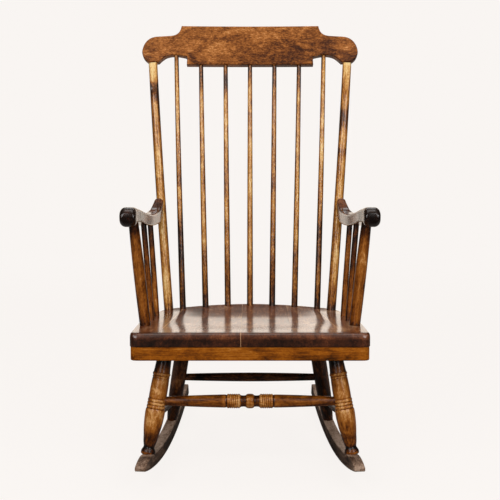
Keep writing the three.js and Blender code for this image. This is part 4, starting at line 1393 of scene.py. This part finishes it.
class CHAIR_OT_stage(bpy.types.Operator):
    """Builds the floor, the lights and the camera"""

    bl_idname = "chair.stage"
    bl_label = "Stage"

    def execute(self, context):
        stage = context.scene.chair_stage
        self.floor(stage)
        self.world(stage)
        self.camera(stage)
        for name, spot, target, size, field in SOFTBOXES:
            self.softbox(name, Vector(spot), Vector(target), size, getattr(stage, field))
        context.scene.view_settings.view_transform = "Standard"
        return {"FINISHED"}

    def floor(self, stage):
        bm = bmesh.new()
        bmesh.ops.create_grid(bm, x_segments=1, y_segments=1, size=FLOOR_REACH)
        mesh = bpy.data.meshes.new("floor")
        bm.to_mesh(mesh)
        bm.free()
        mesh.materials.append(self.paper(stage))
        floor = linked("floor", mesh)

    def paper(self, stage):
        """Shaded paper, which the gloss of the wood mirrors dark before the chair and pale behind it"""
        material = bpy.data.materials.new("paper")
        shader = Shader(material)
        paper = linear(stage.paper)
        shade = tuple(part * stage.floor_shade for part in paper[:3])
        camera = shader.add("LightPath")
        glossy = shader.add("LightPath", output=3)
        spot = shader.add("TexCoord", output=3)
        away = shader.add("VectorMath", {0: spot}, 1, operation="LENGTH").between(1, stage.clear)
        along = shader.add("SeparateXYZ", {0: spot}, 1)
        aside = shader.add("SeparateXYZ", {0: spot}, 0).sum("ABSOLUTE") - along * 0.3
        matte = shader.add("BsdfDiffuse", {"Color": (*shade, 1)})
        near = shader.mixed(camera * (1 - stage.shadow), matte, shader.glow(paper, stage.floor_glow))
        before = glossy * (1 - along.between(-0.6, 0)) * 0.75
        hushed = shader.mixed(before, near, shader.glow((0, 0, 0, 1)))
        mirrored = glossy * along.between(0.6, 1.5) * (1 - aside.between(0.2, 0.9))
        shining = shader.mixed(mirrored, hushed, shader.glow(linear(stage.sheen)))
        surface = shader.mixed(camera * away, shining, shader.glow(paper))
        shader.add("OutputMaterial", {"Surface": surface})
        return material

    def world(self, stage):
        """White to the camera; to the wood a pale horizon behind the chair, a ceiling and a dim room"""
        world = bpy.data.worlds.new("studio")
        shader = Shader(world)
        camera = shader.add("LightPath")
        way = shader.add("TexCoord")
        back = shader.add("SeparateXYZ", {0: way}, 1)
        up = shader.add("SeparateXYZ", {0: way}, 2)
        horizon = back.between(0.84, 0.97) * (1 - up.between(0.03, 0.36))
        amount = 0.08 + horizon * 1.35 + up.between(0.75, 1) * 0.5
        dim = shader.glow(linear(stage.sheen), amount, "Background")
        white = shader.glow(linear(stage.paper), 1, "Background")
        shader.add("OutputWorld", {"Surface": shader.mixed(camera, dim, white)})
        bpy.context.scene.world = world

    def camera(self, stage):
        data = bpy.data.cameras.new("camera")
        data.lens = stage.lens
        data.sensor_width = 36
        camera = linked("camera", data)
        camera.location = (0, chair_place().y - stage.distance, stage.height)
        camera.rotation_euler = (pi / 2 - stage.pitch, 0, 0)
        bpy.context.scene.camera = camera

    def softbox(self, name, spot, target, size, watts):
        data = bpy.data.lights.new(name, "AREA")
        data.shape = "RECTANGLE"
        data.size, data.size_y = size
        data.energy = watts
        lamp = linked(name, data)
        lamp.location = spot
        lamp.rotation_euler = (target - spot).to_track_quat("-Z", "Y").to_euler()


class CHAIR_PT_panel(bpy.types.Panel):
    """Lists the steps that build the chair"""

    bl_label = "Rocking Chair"
    bl_idname = "CHAIR_PT_panel"
    bl_space_type = "VIEW_3D"
    bl_region_type = "UI"
    bl_category = "Rocking Chair"

    def draw(self, context):
        for step in STEPS:
            self.layout.operator(step.bl_idname)


STEPS = (
    CHAIR_OT_stage, CHAIR_OT_seat, CHAIR_OT_back, CHAIR_OT_crest, CHAIR_OT_arms, CHAIR_OT_legs,
    CHAIR_OT_stretchers, CHAIR_OT_runners,
)
GROUPS = {
    "chair_seat": SeatSizes, "chair_back": BackSizes, "chair_arms": ArmSizes, "chair_base": BaseSizes,
    "chair_stage": StageSizes,
    **{f"chair_{slot}": finish_group(slot, values) for slot, values in FINISHES.items()},
}


def register():
    for name, group in GROUPS.items():
        bpy.utils.register_class(group)
        setattr(bpy.types.Scene, name, PointerProperty(type=group))
    for step in (*STEPS, CHAIR_PT_panel):
        bpy.utils.register_class(step)


def unregister():
    for step in (CHAIR_PT_panel, *reversed(STEPS)):
        bpy.utils.unregister_class(step)
    for name, group in reversed(GROUPS.items()):
        delattr(bpy.types.Scene, name)
        bpy.utils.unregister_class(group)


def main():
    register()
    for step in STEPS:
        group, name = step.bl_idname.split(".")
        getattr(getattr(bpy.ops, group), name)()


if __name__ == "__main__":
    main()
